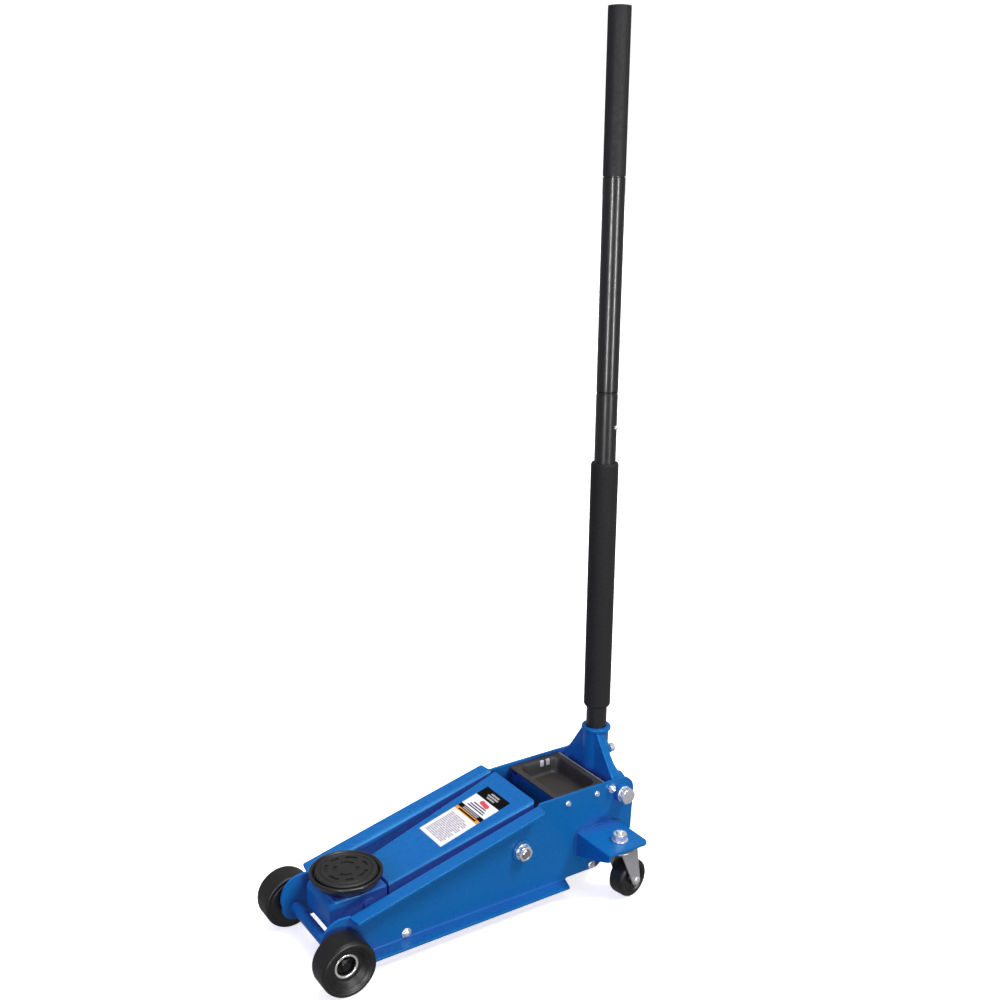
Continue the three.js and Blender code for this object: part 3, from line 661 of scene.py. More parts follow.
def tie(name, node, place, radius, flats, height, tail):
    """A tie bolt through both side plates, with a domed head on the left and a nut on the right."""
    at = across(place)
    shank = rod("y", radius, -OUTER - tail, OUTER + 1, at)
    dome_r = flats * 0.46
    dome = [(dome_r * math.cos(t), OUTER + 2.4 + (height - 2.4) * math.sin(t)) for t in
            (math.pi / 2 * k / 6 for k in range(6))]
    dome = lathe([(0, OUTER + 2), (dome_r, OUTER + 2)] + dome + [(0, OUTER + height)], "y", at, 36)
    head = union(hexagon(flats, OUTER + 1.3, OUTER + 3, "y", at), dome)
    washer = turned([(radius, OUTER + 0.2), (flats * 0.62, OUTER + 0.2, 0.3), (flats * 0.6, OUTER + 1.5, 0.4),
                     (radius, OUTER + 1.5)], "y", at)
    piece(name, union(shank, head, washer), ZINC, node)
    nut = gathered(hexagon(flats, -OUTER - tail + 0.6, -OUTER - 0.3, "y", at, radius + 0.05))
    piece(f"{name}_nut", nut, ZINC)


tie("front_tie_stud", "front_tie_bolt", FRONT_TIE, 5, 14, 6.3, 7.4)
tie("rear_tie_stud", "rear_tie_bolt", REAR_TIE, 4, 12, 3.5, 3.2)

cross = [(70.5, 148), (70.5, 166, 1), (57, 166, 2), (57, 178, 2)]
cross = [(-70.5, 148), *cross, *((-y, z, *r) for y, z, *r in cross[:0:-1])]
piece("tray_support_plate", slab(rounded(cross), "x", -426, -421, 0.6), BLUE, "tray_cross_plate")
seat = slab(rectangle(-70.7, 70.7, 38, 98, 2), "x", -406, -400, 0.6, [circle((0, 62.5), 28.3, 48)])
seams = [weld([(-400, y, 40), (-400, y, 96)], 2.4) for y in (70.5, -70.5)]
piece("cylinder_seat_plate", gathered(seat, *seams), BLUE, "unit_cross_plate")


def tray():
    """A pressed sheet: rings of rounded rectangles run over the lip, down the walls and across the floor."""
    def ring(x0, x1, half, corner, z):
        return [(x, y, z) for x, y in rectangle(x0, x1, -half, half, corner, 8)]

    x0, x1, half = -520.3, -414.7, 70.2
    b0, b1, bh, top = -511.5, -427.5, 59.5, 180.8
    skin = [(x0 + d, x1 - d, half - d, 3, top - drop) for d, drop in ((0, 2.2), (0, 0.8), (0.3, 0.2), (1, 0))]
    upper = []
    wall = ((-3.5, 0, 18), (-1.6, 0.35, 17), (-0.4, 1.2, 16.5), (0.3, 2.6, 16), (1.2, 6, 15.5), (3.2, 17, 14),
            (4.4, 22.5, 13), (5.6, 25, 12), (7.8, 26.8, 10), (11, 27.4, 8))
    for d, drop, corner in wall:
        upper.append((b0 + d, b1 - d, bh - d, corner, top - drop))
    under = [(a - 1.6, b + 1.6, h + 1.6, c + 1.6, max(z - 2.2, 150.9)) for a, b, h, c, z in upper[::-1]]
    loops = [ring(*r) for r in skin + upper]
    loops_under = [ring(*r) for r in under] + [ring(x0 + 1, x1 - 1, half - 1, 3, top - 2.5), ring(*skin[0])]
    n = len(loops[0])
    verts = [p for r in loops + loops_under for p in r]
    faces = []
    for start, count in ((0, len(loops)), (len(loops), len(loops_under))):
        for a in range(start * n, (start + count - 1) * n, n):
            faces += band(a, a + n, n)
    for k in (len(loops) - 1, len(loops)):
        faces.append(tuple(k * n + i for i in range(n)))
    skirt = rectangle(-514, -427, 160, 178.5, 2)
    skirts = [slab(skirt, "y", a, b, 0.4) for a, b in ((68.1, 70.1), (-70.1, -68.1))]
    return gathered(work(verts, faces), *skirts)


piece("pressed_tool_tray", tray(), TRAY, "tool_tray")
rear_strip = slab(rectangle(-521.6, -520.4, 170, 181.8, 0.4), "y", -67, 67, 0.3)
piece("tray_rear_strip", rear_strip, ZINC)
clips = [slab(rectangle(x - 3.6, x + 3.6, 169, 180.4, 1), "y", -60, -56.9, 0.4) for x in (-477, -490)]
piece("tray_clips", gathered(*clips), CLIP)


def cap_screw(x, z, radius, height):
    """A small hexagon flange screw in the side plate's outer face."""
    at = (x, 0, z)
    flange = turned([(0, OUTER + 0.05), (radius * 1.25, OUTER + 0.05), (radius * 1.2, OUTER + 0.9, 0.4),
                     (0, OUTER + 0.9)], "y", at)
    return union(flange, hexagon(radius * 1.75, OUTER + 0.5, OUTER + height, "y", at))


for number, (x, z) in enumerate(((-437, 169.5), (-498.5, 170)), 1):
    pair(f"tray_screw_{{}}_{number}", cap_screw(x, z, 4, 3.6), ZINC)
at = across(STOP)
stop = gathered(hexagon(13, OUTER + 0.1, OUTER + 5.2, "y", at, 4.1),
                stud_end(4, OUTER + 0.2, OUTER + 9.5, "y", at))
pair("stop_screw_{}", stop, ZINC)

at = across(LIFT)
shaft = turned(symmetric([(0, -BETWEEN), (12, -BETWEEN, 0.8)]), "y", at)
tips = [rod("y", 8, 70, 78.8, at, 0.2), stud_end(8, 78.8, 91.6, "y", at)]
tips += [mirrored(o) for o in tips]
piece("lift_shaft", gathered(shaft, *tips), STEEL, "lift_pivot_shaft")
nut = gathered(hexagon(24, 80.9, 89.6, "y", at, 8.15),
               turned([(8.3, 78.7), (14.2, 78.7, 0.4), (14.2, 80.7, 0.5), (8.3, 80.7)], "y", at))
pair("lift_shaft_nut_{}", nut, ZINC, "lift_pivot_nut_{}")

anchor = [(0, 23), (6, 23, 0.8), (6, 32.2), (9, 32.2, 0.6), (9, BETWEEN), (0, BETWEEN)]
anchor = turned(anchor, "y", across(ROD_REAR))
pair("rod_anchor_stud_{}", anchor, STEEL, "rod_anchor_{}")

# ---- Power unit ----
lower_block = slab(rectangle(-40, 40, 50, 100, 4), "x", -500, -468, 1.5)
upper_block = slab(rectangle(-30, 30, 94, 146, 5), "x", -500, -442, 1.5)
block = cast(union(lower_block, upper_block), 1.5, 0.35)
bores = [rod("x", 8.4, -501, -447, PUMP_AXIS, 0)]
spindle_turn = Matrix.Translation(across(PIVOT)) @ Matrix.Rotation(math.radians(20), 4, "Y")
bores.append(placed(rod("x", 5.4, 30, 63, edge=0), spindle_turn))
plugs = [hexagon(13, 30, 34.5, "y", (-478, 0, PUMP_AXIS[2])), hexagon(11, 146, 150, "z", (-456, 14, 0))]
piece("pump_casting", gathered(cut(block, *bores)), GREY, "pump_block")
piece("valve_plugs", gathered(*plugs), ZINC)
cylinder = [(0, -467.7), (28, -467.7, 1.5), (28, -452), (27, -451, 0), (27, -449), (28, -448)]
cylinder += [(28, BARREL_END, 1.2), (12.4, BARREL_END, 0.5), (12.4, -459.7), (0, -459.7)]
cylinder = turned(cylinder, "x", RAM_AXIS)
piece("cylinder_barrel", cylinder, GREY, "reservoir_cylinder")
gland = hexagon(36, -395.7, -388.3, "x", RAM_AXIS, 12.4)
piece("gland_nut", gland, STEEL, "cylinder_gland")

for side, s in SIDES:
    spring = coil((s * 12, 29), -486.5, RAM_PIN[0] - 5.5, 3.9, 0.8, 34)
    dressed(spring, f"return_coil_{side}", STEEL[0])
    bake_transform(spring)
    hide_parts(f"return_spring_{side}")
spring = coil(PUMP_AXIS[1:], PLUNGER_END + 4.8, PUMP_FACE, 11, 1.15, 6.5)
piece("pump_coil", spring, STEEL, "pump_spring", sharp=80)
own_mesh(spring)

ram = turned([(0, -457), (12, -457, 1), (12, RAM_PIN[0] - 11.5, 0.5), (0, RAM_PIN[0] - 11.5)], "x", RAM_AXIS)
piece("ram_piston_rod", ram, STEEL, "ram_rod", "ram")
x = RAM_PIN[0]
head = union(slab(rectangle(-11.5, 11.5, 49, 76, 3), "x", x - 11, x + 10, 1.2),
             rod("y", 7, -21, 21, across(RAM_PIN), 1),
             slab(rectangle(-10, 10, 24, 50.5, 1), "x", x - 5, x + 2, 0.6),
             slab(rectangle(-18, 18, 24, 35, 3), "x", x - 5, x + 2, 0.6))
piece("ram_head", head, DARK, "ram_crosshead", "ram")
plunger = [(0, PLUNGER_END), (13, PLUNGER_END, 1), (13, PLUNGER_END + 4.5, 0.6), (8, PLUNGER_END + 4.5, 0.4)]
plunger = turned(plunger + [(8, -494, 0.8), (0, -494)], "x", PUMP_AXIS)
piece("plunger_rod", plunger, STEEL, "pump_plunger", "pump_plunger")
spindle = turned([(0, -7.5)] + [(7.5 * math.cos(t), 7.5 * math.sin(t)) for t in
                 (math.radians(a) for a in range(-75, 50, 12))] + [(5, 6.2), (5, 60.5, 0.6), (0, 60.5)], "x")
piece("valve_spindle", placed(spindle, spindle_turn), STEEL, "release_spindle", "release_spindle")


# ---- Caster brackets and casters ----
def caster_bracket():
    inner = OUTER + 0.3
    plan = rounded([(-455, inner), (-455, 168, 2), (-541, 168, 11), (-541, inner)], 8)
    roof = slab(plan, "z", 105.5, 110.5, 1.0, [circle((CASTER[0], CASTER[1]), 6.4)])
    web = slab(rounded([(inner, 106.5), (167, 106.5, 1), (167, 97, 3), (150, 90, 20), (inner, 65, 2)]), "x",
               -460, -455, 0.8)
    fold = [(-460, 104), (-455, 104), (-455, 110.5, 4.5), (-463, 110.5), (-463, 105.5), (-460, 105.5)]
    fold = rounded(fold, 6)
    corner = slab(fold, "y", inner, 168, 0.8)
    roof = cut(roof, slab(rectangle(-463, -450, 60, 180), "z", 100, 112, 0))
    return union(roof, corner, web)


seams = [weld([(-457, 77, 66), (-454.6, 77, 68), (-454.6, 77, 109)], 2.3),
         weld([(-459, 77.2, 111), (-500, 77.2, 111), (-539, 77.2, 111)], 2.1),
         weld([(-541.2, 77.2, 110), (-541.2, 77.2, 106)], 1.8)]
pair("caster_shelf_{}", gathered(caster_bracket(), *seams), BLUE, "caster_bracket_{}")


def caster_fork():
    """Crown, ball races and two pressed legs, drawn about the stem with the wheel trailing."""
    crown = [(0, 93), (20.5, 93), (24, 94.5, 1.5), (26, 96.5, 1), (24, 98.2, 0.8), (21.5, 98.6), (21.2, 99.6)]
    crown = turned(crown + [(23, 100.4, 0.8), (22.5, 102.2, 1), (17, 105.2, 1.5), (0, 105.2)])
    stem = rod("z", 6, 98, 116.8, steps=24)
    leg = rounded([(16, 96, 2), (-23, 96, 2)] + arc((-TRAIL, CASTER_HUB[2]), 9.5, 186, 335, 12))
    legs = [slab(leg, "y", a, a + 3, 0.8) for a in (18, -21)]
    bridge = slab(rectangle(-21, 21, 91.5, 96, 1.5), "x", -21, 14, 0.8)
    return cut(union(crown, stem, bridge, *legs), rod("y", 5.4, -30, 30, CASTER_HUB, 0))


def caster_wheel():
    side = [(5.4, 14.4), (9.5, 14.4, 0.5), (10.5, 11, 1), (22, 11, 1), (24.5, 14.2, 1), (27, 14.8, 1),
            (30, 14.4, 1.5), (32.2, 12.4, 2), (33, 9, 2)]
    other = [(r, -h, *c) for r, h, *c in side[::-1]]
    return turned([(5.4, 0), *side, (33, 0), *other], "y", CASTER_HUB, 64)


for side, s in SIDES:
    heading = Matrix.Translation((CASTER[0], s * CASTER[1], 0)) @ Matrix.Rotation(s * HEADING, 4, "Z")
    fork_body, wheel_body = f"caster_fork_{side}", f"caster_wheel_{side}"
    piece(f"caster_yoke_{side}", placed(caster_fork(), heading), GREY, fork_body, fork_body)
    rivet = symmetric([(0, 24.5), (3.2, 24.5, 1.2), (6.8, 22.7, 1), (7.2, 21.3, 0.4), (5, 21.3)])
    rivet = placed(turned(rivet, "y", CASTER_HUB, 32), heading)
    piece(f"caster_rivet_{side}", rivet, ZINC, f"caster_axle_{side}", fork_body)
    stem = (0, 0, 0)
    nut = gathered(hexagon(22, 113.2, 124, "z", stem, 6.15), stud_end(6, 117, 127, "z", stem),
                   turned([(6.4, 110.8), (14, 110.8, 0.5), (14, 112.9, 0.6), (6.4, 112.9)]))
    piece(f"caster_stem_nut_{side}", placed(nut, heading), ZINC, f"caster_nut_{side}", fork_body)
    piece(f"caster_tyre_{side}", placed(caster_wheel(), heading), WHEEL, wheel_body, wheel_body)

# ---- Front wheels ----
tyre = [(20.1, 84.6), (36, 84.6, 1), (37, 86), (40, 86), (41.5, 84.6, 1), (44, 85.4, 2), (45, 88.5, 2),
        (45, 121.5, 4), (43, 127.3, 2.4), (38.5, 127.3, 1), (37.2, 126.2, 0.4), (36.2, 126.2, 0.4),
        (33, 122.4, 0.8), (31.6, 122.2, 0.6), (25.4, 114.2, 1), (23, 113.6), (20.1, 113.6)]
tyre = turned(tyre, "y", AXLE, 96, 4)
hub = turned([(16, 111), (19.8, 111), (19.8, 113.9, 1), (16.8, 113.9, 0.7), (16, 113.1, 0.4)], "y", AXLE, 72)
core = [(8.4, 88), (19.8, 88, 0.5), (19.8, 110.9), (16, 110.9), (16, 102.4), (8.4, 102.4)]
core = turned(core, "y", AXLE, 72)
wheel = tyre, hub, core
for side, (tyre, hub, core) in (("left", wheel), ("right", [mirrored(o) for o in wheel])):
    wheel_body = f"front_wheel_{side}"
    piece(f"front_tyre_{side}", tyre, WHEEL, wheel_body, wheel_body, 50)
    piece(f"front_bearing_{side}", hub, ZINC, f"front_hub_{side}", wheel_body)
    piece(f"front_bearing_core_{side}", core, (WHEEL[0], None), body=wheel_body)


# ---- Lift arm, cradle and saddle ----
def arm_section(x, drop, side_inset, radius):
    """Cross-section of the tapered channel at x, rounded along its two top edges."""
    half, top = arm_half(x) - side_inset, arm_top(x) - drop
    loop = rounded([(-half, 40), (half, 40), (half, top, radius), (-half, top, radius)], 6)
    return [(x, y, z) for y, z in loop]


def lift_arm():
    px, pz = LIFT
    shell = stack([arm_section(x, 0, 0, 7) for x in (-109.8, -400)])
    side = [(-110.4, arm_top(-110.4)), (-379, arm_top(-379)), (-380, arm_top(-379) - 7)]
    side += arc((px, pz), 20, 167.4, 315, 16) + [(-262, 100), (-110.4, 78)]
    side[:2] = [(u, v, 3) for u, v in side[:2]]
    shell = common(shell, slab(rounded(side), "y", -80, 80, 0))
    half = arm_half(-378)
    plan = [(-100, -80), (-100, 80), (-300, 80), (-300, half + 12), (-378, half, 9)]
    plan += [(-378, -half, 9), (-300, -half - 12), (-300, -80)]
    shell = common(shell, slab(rounded(plan), "z", 0, 240, 0))
    hollow = stack([arm_section(x, 6, 5, 3) for x in (-117, -373)])
    shell = cut(shell, hollow)
    blade = capsule(CRADLE_PIN, (-160, 92), 13)
    root = capsule((-128, 91), (-160, 92), 12)
    down = math.radians(-120)

    def at(reach):
        """A point on the lug's middle line."""
        return px + reach * math.cos(down), pz + reach * math.sin(down)

    lug = capsule(LIFT, at(54), 14)
    ribs = []
    for loop, a, b in ((blade, 32.5, 37.5), (root, 36, 43), (lug, 12.5, 20.5)):
        ribs += [slab(loop, "y", a, b, 0.8), slab(loop, "y", -b, -a, 0.8)]
    sleeve = turned(symmetric([(11, -62), (16, -62, 1)]), "y", across(LIFT))
    passage = rectangle(px - 40, px + 40, pz - 40, pz + 13)
    passes = [slab(passage, "y", a, b, 0) for a, b in ROD_SLOTS]
    arm = union(shell, *ribs, cut(sleeve, *passes))
    slot = capsule(at(47.5), at(48 / math.cos(math.radians(30)) + 0.5), 8.3)
    holes = drill(LIFT, 12.4, -80, 80), drill(CRADLE_PIN, 7.4, -60, 60), slab(slot, "y", -25, 25, 0)
    return softened(cut(arm, *holes), 0.8)


piece("pressed_lift_arm", lift_arm(), BLUE, "lift_arm", "lift_arm")
pin = turned(symmetric([(0, -47), (10, -47, 1), (10, -44.3), (7, -44.3)]), "y", across(CRADLE_PIN))
piece("cradle_hinge_pin", pin, BLUE, "cradle_pin", "lift_arm")


def saddle_cradle():
    px, pz = CRADLE_PIN
    front, rear, half, top, bottom = -15, -108, 44, 110, 66
    reach = 34
    side = [(front, bottom), (front, top), (rear, top), (rear, pz + 8)]
    side += arc((px, pz), reach, 166.2, 180 + math.degrees(math.asin((pz - bottom) / reach)), 10)
    block = slab(rectangle(-half, half, bottom - 10, top, 5), "x", rear, front, 3.5, steps=4)
    block = common(block, slab(side, "y", -60, 60, 0))
    hollow = slab(rectangle(-half + 5.5, half - 5.5, 40, top - 6, 2), "x", rear - 2, front - 5.5, 0)
    nose = slab(capsule(ROD_FRONT, (ROD_FRONT[0], top - 17), 15), "y", -half + 0.6, half - 0.6, 3)
    sweep = arc(ROD_FRONT, 11.8, -80, 100, 14) + [(-60, 90), (-60, 30)]
    holes = [slab(sweep, "y", a, b, 0) for a, b in ROD_SLOTS]
    holes += [drill(CRADLE_PIN, 7.4, -60, 60), drill(ROD_FRONT, 6.4, -60, 60),
              rod("z", 12.4, 80, 140, (SADDLE_X, 0, 0), 0)]
    return softened(cut(union(cut(block, hollow), nose), *holes), 0.9)


piece("saddle_block", saddle_cradle(), BLUE, "saddle_cradle", "saddle_cradle")
pin = rod("y", 6, -35, 35, across(ROD_FRONT), 1.2)
piece("rod_hinge_pin", pin, BLUE, "radius_rod_pin", "saddle_cradle")

cup = turned([(0, 97.8), (12, 97.8, 1), (12, 110.3), (47, 110.3, 1.5), (49.5, 114, 2), (57, 122.5, 3),
              (SADDLE_R, 127, 1.5), (SADDLE_R, 130.4, 1.6), (55.2, 131, 1), (52.2, 128.2, 1.5),
              (51.6, 123.4, 1), (0, 123.4)], "z", (SADDLE_X, 0, 0), 96)
piece("saddle_casting", cup, BLACK, "saddle_cup", "saddle")


def saddle_pad():
    """A rubber pad with two rings of short sunk grooves."""
    pad = turned([(0, 123.6), (49.6, 123.6), (50.2, 130.2, 1), (48.2, 132.6, 1.5), (43.4, 132.8),
                  (42.6, 131.6, 0.4), (41, 131.6), (40.2, 132.8), (0, 132.8)], "z", (SADDLE_X, 0, 0), 96)
    grooves = []
    rings = (32.5, 6, 8, (34, 22, 40, 26, 36, 24, 38)), (18, 5.4, 30, (62, 40, 66, 48))
    for radius, width, first, spans in rings:
        gap = (360 - sum(spans)) / len(spans)
        for span in spans:
            outer = arc((SADDLE_X, 0), radius + width / 2, first, first + span, 12)
            inner = arc((SADDLE_X, 0), radius - width / 2, first + span, first, 12)
            far = [(*outer[-1], 1.6), (*inner[0], 1.6)]
            near = [(*inner[-1], 1.6), (*outer[0], 1.6)]
            grooves.append(slab(rounded(outer[1:-1] + far + inner[1:-1] + near), "z", 130.6, 134, 0))
            first += span + gap
    return cut(pad, *grooves)


piece("saddle_rubber", saddle_pad(), RUBBER, "saddle_pad", "saddle")

link = slab(capsule(ROD_REAR, ROD_FRONT, 6), "y", 24, 31, 0.8)
eye = [(0, 24), (11, 24, 0.8), (11, 31, 0.8), (0, 31)]
eyes = [turned(eye, "y", across(pin), 40) for pin in (ROD_REAR, ROD_FRONT)]
bores = [drill(pin, 6.4, 0, 50) for pin in (ROD_REAR, ROD_FRONT)]
link = cut(union(link, *eyes), *bores)
pair("level_rod_{}", link, STEEL, "radius_rod_{}", "radius_rods")


# ---- Handle socket ----
def handle_socket():
    x, pz = PIVOT
    legs = [(69.5, pz), (56, pz), (56, 180), (50, 174)]
    legs += [(-u, v) for u, v in legs[::-1]]

    def yoke(top, shoulder, bow):
        """The yoke's outline, whose two upper edges are bowed in."""
        a, b = Vector(top), Vector(shoulder)
        edge = []
        for i in range(9):
            p = a.lerp(b, i / 8)
            lift = bow * math.sin(math.pi * i / 8)
            edge.append((p.x - lift * 0.8, p.y - lift * 0.6))
        return edge + legs + [(-u, v) for u, v in edge[::-1]]

    front, rear = ((21, 249), (70, 181)), ((9, 246), (66, 180))
    sections = (15, front, 0.5), (0, front, 3), (-10, rear, 9), (-16, rear, 13)
    wings = stack([[(x + d, y, z) for y, z in yoke(*ends, bow)] for d, ends, bow in sections])
    pockets = [slab(rounded([(s * 22, 226, 3), (s * 22, 183, 3), (s * 57, 183, 3)]), "x", x - 22, x - 4, 0)
               for s in (1, -1)]
    wings = cut(wings, *pockets)
    neck = [(0, 162), (22, 162), (22, 246), (23, 248), (26, 249.5, 1), (26, 255, 2), (24, 256, 0.5), (0, 256)]
    neck = turned(neck, "z", (x, 0, 0))
    parts = [turned([(0, 56), (25, 56, 1.5), (25, 69.5, 2), (0, 69.5)], "y", (x, 0, pz), 48),
             slab(capsule(PIVOT, ROLLER, 10), "y", 56, 66, 1)]
    parts += [mirrored(o) for o in parts]
    parts.append(slab(rectangle(-56.5, 56.5, pz, 182), "x", x + 11, x + 15, 0.4))
    clamp = turned([(0, x - 30), (9, x - 30, 1), (10.5, x - 19), (0, x - 19)], "x", CLAMP, 32)
    body = cast(union(wings, neck, clamp, *parts), 1.25, 0.4)
    holes = [rod("z", 18.4, 150, 270, (x, 0, 0), 0, 64), drill(PIVOT, 8.4, -90, 90),
             drill(ROLLER, 6.4, -90, 90), rod("x", 5.4, x - 40, x - 15, CLAMP, 0)]
    return cut(body, *holes)


piece("socket_casting", handle_socket(), BLUE, "handle_socket", "handle_socket", 60)
at = across(PIVOT)
bolt = union(rod("y", 8, 57, 85, at), hexagon(25.5, 85.6, 97.5, "y", at),
             turned([(0, 83.8), (14.5, 83.8, 0.5), (14.5, 85.7, 0.5), (0, 85.7)], "y", at))
pair("socket_pivot_bolt_{}", bolt, ZINC, "handle_pivot_bolt_{}")
at = across(ROLLER)
piece("roller_pin", rod("y", 6, -66, 66, at, 0.8), STEEL, "cam_roller_pin", "handle_socket")
roller = turned(symmetric([(6.4, -12), (9, -12, 1)]), "y", at)
piece("cam_follower", roller, STEEL, "cam_roller", "cam_roller")
at = CLAMP
clamp = union(rod("x", 5, -583.3, -570.6, at), hexagon(14, -591.6, -584.3, "x", at),
              turned([(0, -584.8), (8.2, -584.8, 0.4), (8.2, -582.3, 0.4), (0, -582.3)], "x", at))
piece("socket_clamp_bolt", clamp, ZINC, "handle_clamp_bolt", "handle_socket")

# ---- Handle ----
at = (PIVOT[0], 0, 0)


def knurled():
    """The grip: a sleeve whose skin is cut by two crossing spirals."""
    a, b, steps, rows = 1195, 1446, 160, 250

    def ring(z, radius, depth=0.0):
        points = []
        for t in (TURN * i / steps for i in range(steps)):
            r = radius + depth * math.cos(20 * t + z * 1.05) * math.cos(20 * t - z * 1.05)
            points.append((at[0] + r * math.cos(t), r * math.sin(t), z))
        return points

    rings = [ring(a + (b - a) * k / rows, 18.1, 0.22 if 3 < k < rows - 3 else 0.0) for k in range(rows + 1)]
    return stack(rings + [ring(b, 16.8), ring(a, 16.8)], closed=True)


lower = turned([(16, 193), (18, 193, 0.6), (18, 848.5), (17.2, 849.4), (17.2, 851.2), (18, 852.2, 0.4),
                (18, 852.6), (16, 852.6)], "z", at, 72)
upper = turned([(13.6, 770), (15.6, 770, 0.8), (15.6, 853.4), (18, 853.4, 1.2), (18, 1193.6, 0.6),
                (16.5, 1194), (16.5, 1441), (13.6, 1441)], "z", at, 72)
hole = Matrix.Translation((PIVOT[0], 0, BUTTON_Z)) @ Matrix.Rotation(BUTTON_HEADING, 4, "Z")
lower, upper = (cut(t, placed(rod("x", 4.4, 5, 30, edge=0), hole)) for t in (lower, upper))
piece("tube_lower", lower, BLACK, "handle_lower_tube", "handle")
piece("tube_upper", upper, BLACK, "handle_upper_tube", "handle")
foam = turned([(18.3, 295), (21.5, 295, 1.2), (23.25, 298.5, 3), (23.25, 729.5, 3), (21.8, 733.4, 1.4),
               (18.3, 733.4)], "z", at, 72, 4)
piece("foam_cover", foam, FOAM, "foam_sleeve", "handle")
piece("knurled_grip", knurled(), RUBBER, "handle_grip", "handle", 80)
cap = turned([(0, 1427), (13.2, 1427), (13.2, 1441.4), (16.6, 1441.4, 0.4), (16.6, 1445, 1.2),
              (13.5, 1446.8, 1.5), (0, 1447)], "z", at, 64)
piece("tube_cap", cap, PLASTIC, "handle_end_cap", "handle")
fork = [rod("z", 15.7, 197, 225, at), rod("z", 9, 178, 198, at),
        slab(rectangle(PIVOT[0] - 6, PIVOT[0] + 6, -13, 13, 1.5), "z", 173, 180, 0.8)]
fork += [slab(rectangle(PIVOT[0] - 5, PIVOT[0] + 5, a, a + 4, 1), "z", 160, 174, 0.6) for a in (9, -13)]
piece("valve_fork", union(*fork), STEEL, "handle_drive_fork", "handle")
button = turned([(0, 12.5), (4, 12.5), (4, 19.3), (3.2, 20.6, 0.8), (1.5, 21.1, 1), (0, 21.2)], "x", steps=32)
piece("detent_button", placed(button, hole), ZINC, "snap_button", "snap_button")


# ---- Label ----
def label():
    """A printed sheet on the arm: bands, a plain round mark and grey bars where print would be."""
    rng = random.Random(4)
    bm = bmesh.new()
    white, black, orange, grey, red = range(5)

    def patch(loop, finish, lift=0.2):
        """A thin raised area that follows the arm's slope."""
        low, high = ([bm.verts.new((x, y, arm_top(x) + h)) for x, y in loop] for h in (0.02, lift))
        n = len(loop)
        sides = [[low[i], low[(i + 1) % n], high[(i + 1) % n], high[i]] for i in range(n)]
        for face in [high, low[::-1]] + sides:
            bm.faces.new(face).material_index = finish

    def bars(finish, half, *rows):
        """Level bars, each given as (x, half its length)."""
        for x, w in rows:
            patch(rectangle(x - half, x + half, -w, w), finish)

    front, rear, half = -210.7, -346.4, 34.8
    edges = [front, -279.1, -286.1, -294.4, -323.3, rear]
    for a, b, finish in zip(edges, edges[1:], (white, orange, black, white, black)):
        patch(rectangle(b, a, -half, half), finish, 0.15)
    for k in range(16):
        x, y = -218.6 - 3.4 * k, -27.5
        end = 27 - rng.random() * 16 if k % 4 == 3 else 28
        while y < end - 4:
            word = min(end - y, 8 + rng.random() * 14)
            patch(rectangle(x - 1.15, x + 1.15, y, y + word - 1.2), grey)
            y += word
    patch(rectangle(-284.3, -281.0, -26, 26), black)
    bars(grey, 0.9, (-288.6, 22), (-291.8, 22))
    patch(capsule((-316.5, -6), (-314.5, 12), 4.2), red)
    bars(black, 1.1, (-308.2, 18), (-303.4, 22), (-299.2, 24))
    bars(grey, 1.5, (-329.5, 11), (-334.5, 15), (-339.5, 12))

    mesh = bpy.data.meshes.new("printed_label")
    bm.to_mesh(mesh)
    bm.free()
    mesh.transform(TO_FRAME)
    for finish in (ink("print_white", (236, 236, 234), (246, 246, 245)),
                   ink("print_black", (5, 5, 6), (10, 10, 10)),
                   ink("print_orange", (226, 150, 54), (236, 164, 70)),
                   ink("print_grey", (166, 164, 160), (182, 180, 176)),
                   ink("print_red", (206, 70, 72), (220, 92, 92))):
        mesh.materials.append(finish)
    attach(linked("printed_label", mesh), "lift_arm")


label()

# ---- Floor, light and camera ----
pale = Finish("floor", specular=0.1)
pale.colour(pale.mixed(pale.noise(3, 2), (0.94, 0.94, 0.94, 1), (0.96, 0.96, 0.96, 1)))
pale.set("Roughness", 0.9)
pale.set("Emission Color", (1, 1, 1, 1))
pale.set("Emission Strength", 0.7)
floor_mesh = bpy.data.meshes.new("floor")
floor_mesh.from_pydata([(-60, -60, 0), (60, -60, 0), (60, 60, 0), (-60, 60, 0)], [], [(0, 1, 2, 3)])
floor_mesh.materials.append(pale.material)
floor = linked("floor", floor_mesh)
floor.visible_diffuse = floor.visible_glossy = False


def direction(azimuth, elevation):
    """A unit vector from two angles in degrees."""
    a, e = math.radians(azimuth), math.radians(elevation)
    return Vector((math.cos(a) * math.cos(e), math.sin(a) * math.cos(e), math.sin(e)))


def aim(lamp, azimuth, elevation):
    """Turns a lamp to shine from a direction, and returns the direction."""
    towards = direction(azimuth, elevation)
    lamp.rotation_mode = "QUATERNION"
    lamp.rotation_quaternion = towards.to_track_quat("Z", "Y")
    return towards


def sun(name, azimuth, elevation, strength, angle, diffuse=True, glossy=True, colour=(1, 1, 1)):
    """A far lamp. It can be left out of the matt light or out of the reflections."""
    data = bpy.data.lights.new(name, "SUN")
    data.energy, data.angle, data.color = strength, math.radians(angle), colour
    lamp = linked(name, data)
    aim(lamp, azimuth, elevation)
    lamp.visible_diffuse, lamp.visible_glossy = diffuse, glossy


sun("key", 132, 58, 1.9, 16, glossy=False)
sun("top", 190, 80, 1.02, 40)
sun("front", 82, 3, 1.35, 12, glossy=False)
sun("glint", 94, 44, 2.8, 34, diffuse=False)
sun("rear", 264, 14, 0.8, 30, glossy=False)
sun("fill", 5, 20, 1.0, 40, glossy=False, colour=(0.35, 0.35, 1))

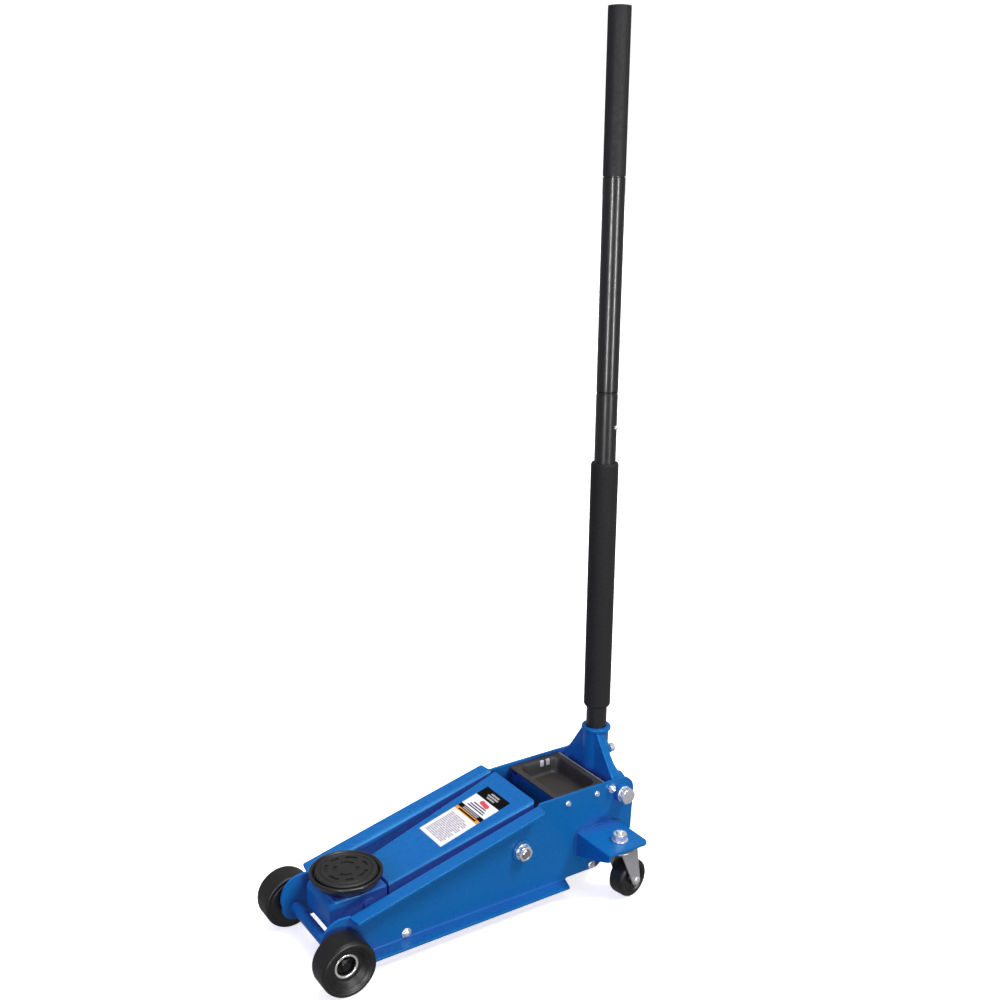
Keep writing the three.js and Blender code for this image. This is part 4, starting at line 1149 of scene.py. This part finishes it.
STRIP_Z, STRIP_HEIGHT, STRIP_DISTANCE = 0.92, 1.1, 3  # middle, height, way from the handle in metres


def strip(name, azimuth, width, power):
    """A tall narrow soft box, which draws a line of light on the tubes."""
    data = bpy.data.lights.new(name, "AREA")
    data.shape, data.size, data.size_y, data.energy = "RECTANGLE", width, STRIP_HEIGHT, power
    lamp = linked(name, data)
    lamp.location = Vector((AXLE_X + PIVOT[0] / 1000, 0, STRIP_Z)) + aim(lamp, azimuth, 0) * STRIP_DISTANCE
    lamp.visible_camera = lamp.visible_diffuse = False


strip("strip_left", 98, 0.19, 42)
strip("strip_right", 38, 0.19, 46)

world = bpy.data.worlds.new("studio")
bpy.context.scene.world = world
world.use_nodes = True
nodes, links = world.node_tree.nodes, world.node_tree.links
path, tint, share = (nodes.new("ShaderNode" + kind) for kind in ("LightPath", "Mix", "MapRange"))
tint.data_type = "RGBA"
tint.inputs[6].default_value = (1, 1, 1, 1)
tint.inputs[7].default_value = (1.08, 0.96, 1.14, 1)
links.new(path.outputs["Is Diffuse Ray"], tint.inputs[0])
links.new(tint.outputs[2], nodes["Background"].inputs["Color"])
share.inputs["To Min"].default_value = 0.3
share.inputs["To Max"].default_value = 1.1
links.new(path.outputs["Is Camera Ray"], share.inputs["Value"])
links.new(share.outputs["Result"], nodes["Background"].inputs["Strength"])

# The camera, found from the photo: it looks back and down, and is rolled a little.
SENSOR, FOCAL = 36, 1.21766  # sensor width in millimetres, focal length in sensor widths
forward, roll = direction(236.49, -15.0), math.radians(0.592)
right = forward.cross(Vector((0, 0, 1))).normalized()
up = right.cross(forward)
right, up = right * math.cos(roll) + up * math.sin(roll), up * math.cos(roll) - right * math.sin(roll)
camera_data = bpy.data.cameras.new("camera")
camera_data.sensor_width = SENSOR
camera_data.lens = SENSOR * FOCAL
camera = linked("camera", camera_data)
place = Matrix.Translation((AXLE_X + 0.6887, 1.5575, 1.1974))
camera.matrix_world = place @ Matrix((right, up, -forward)).transposed().to_4x4()
bpy.context.scene.camera = camera
bpy.context.scene.view_settings.view_transform = "Standard"
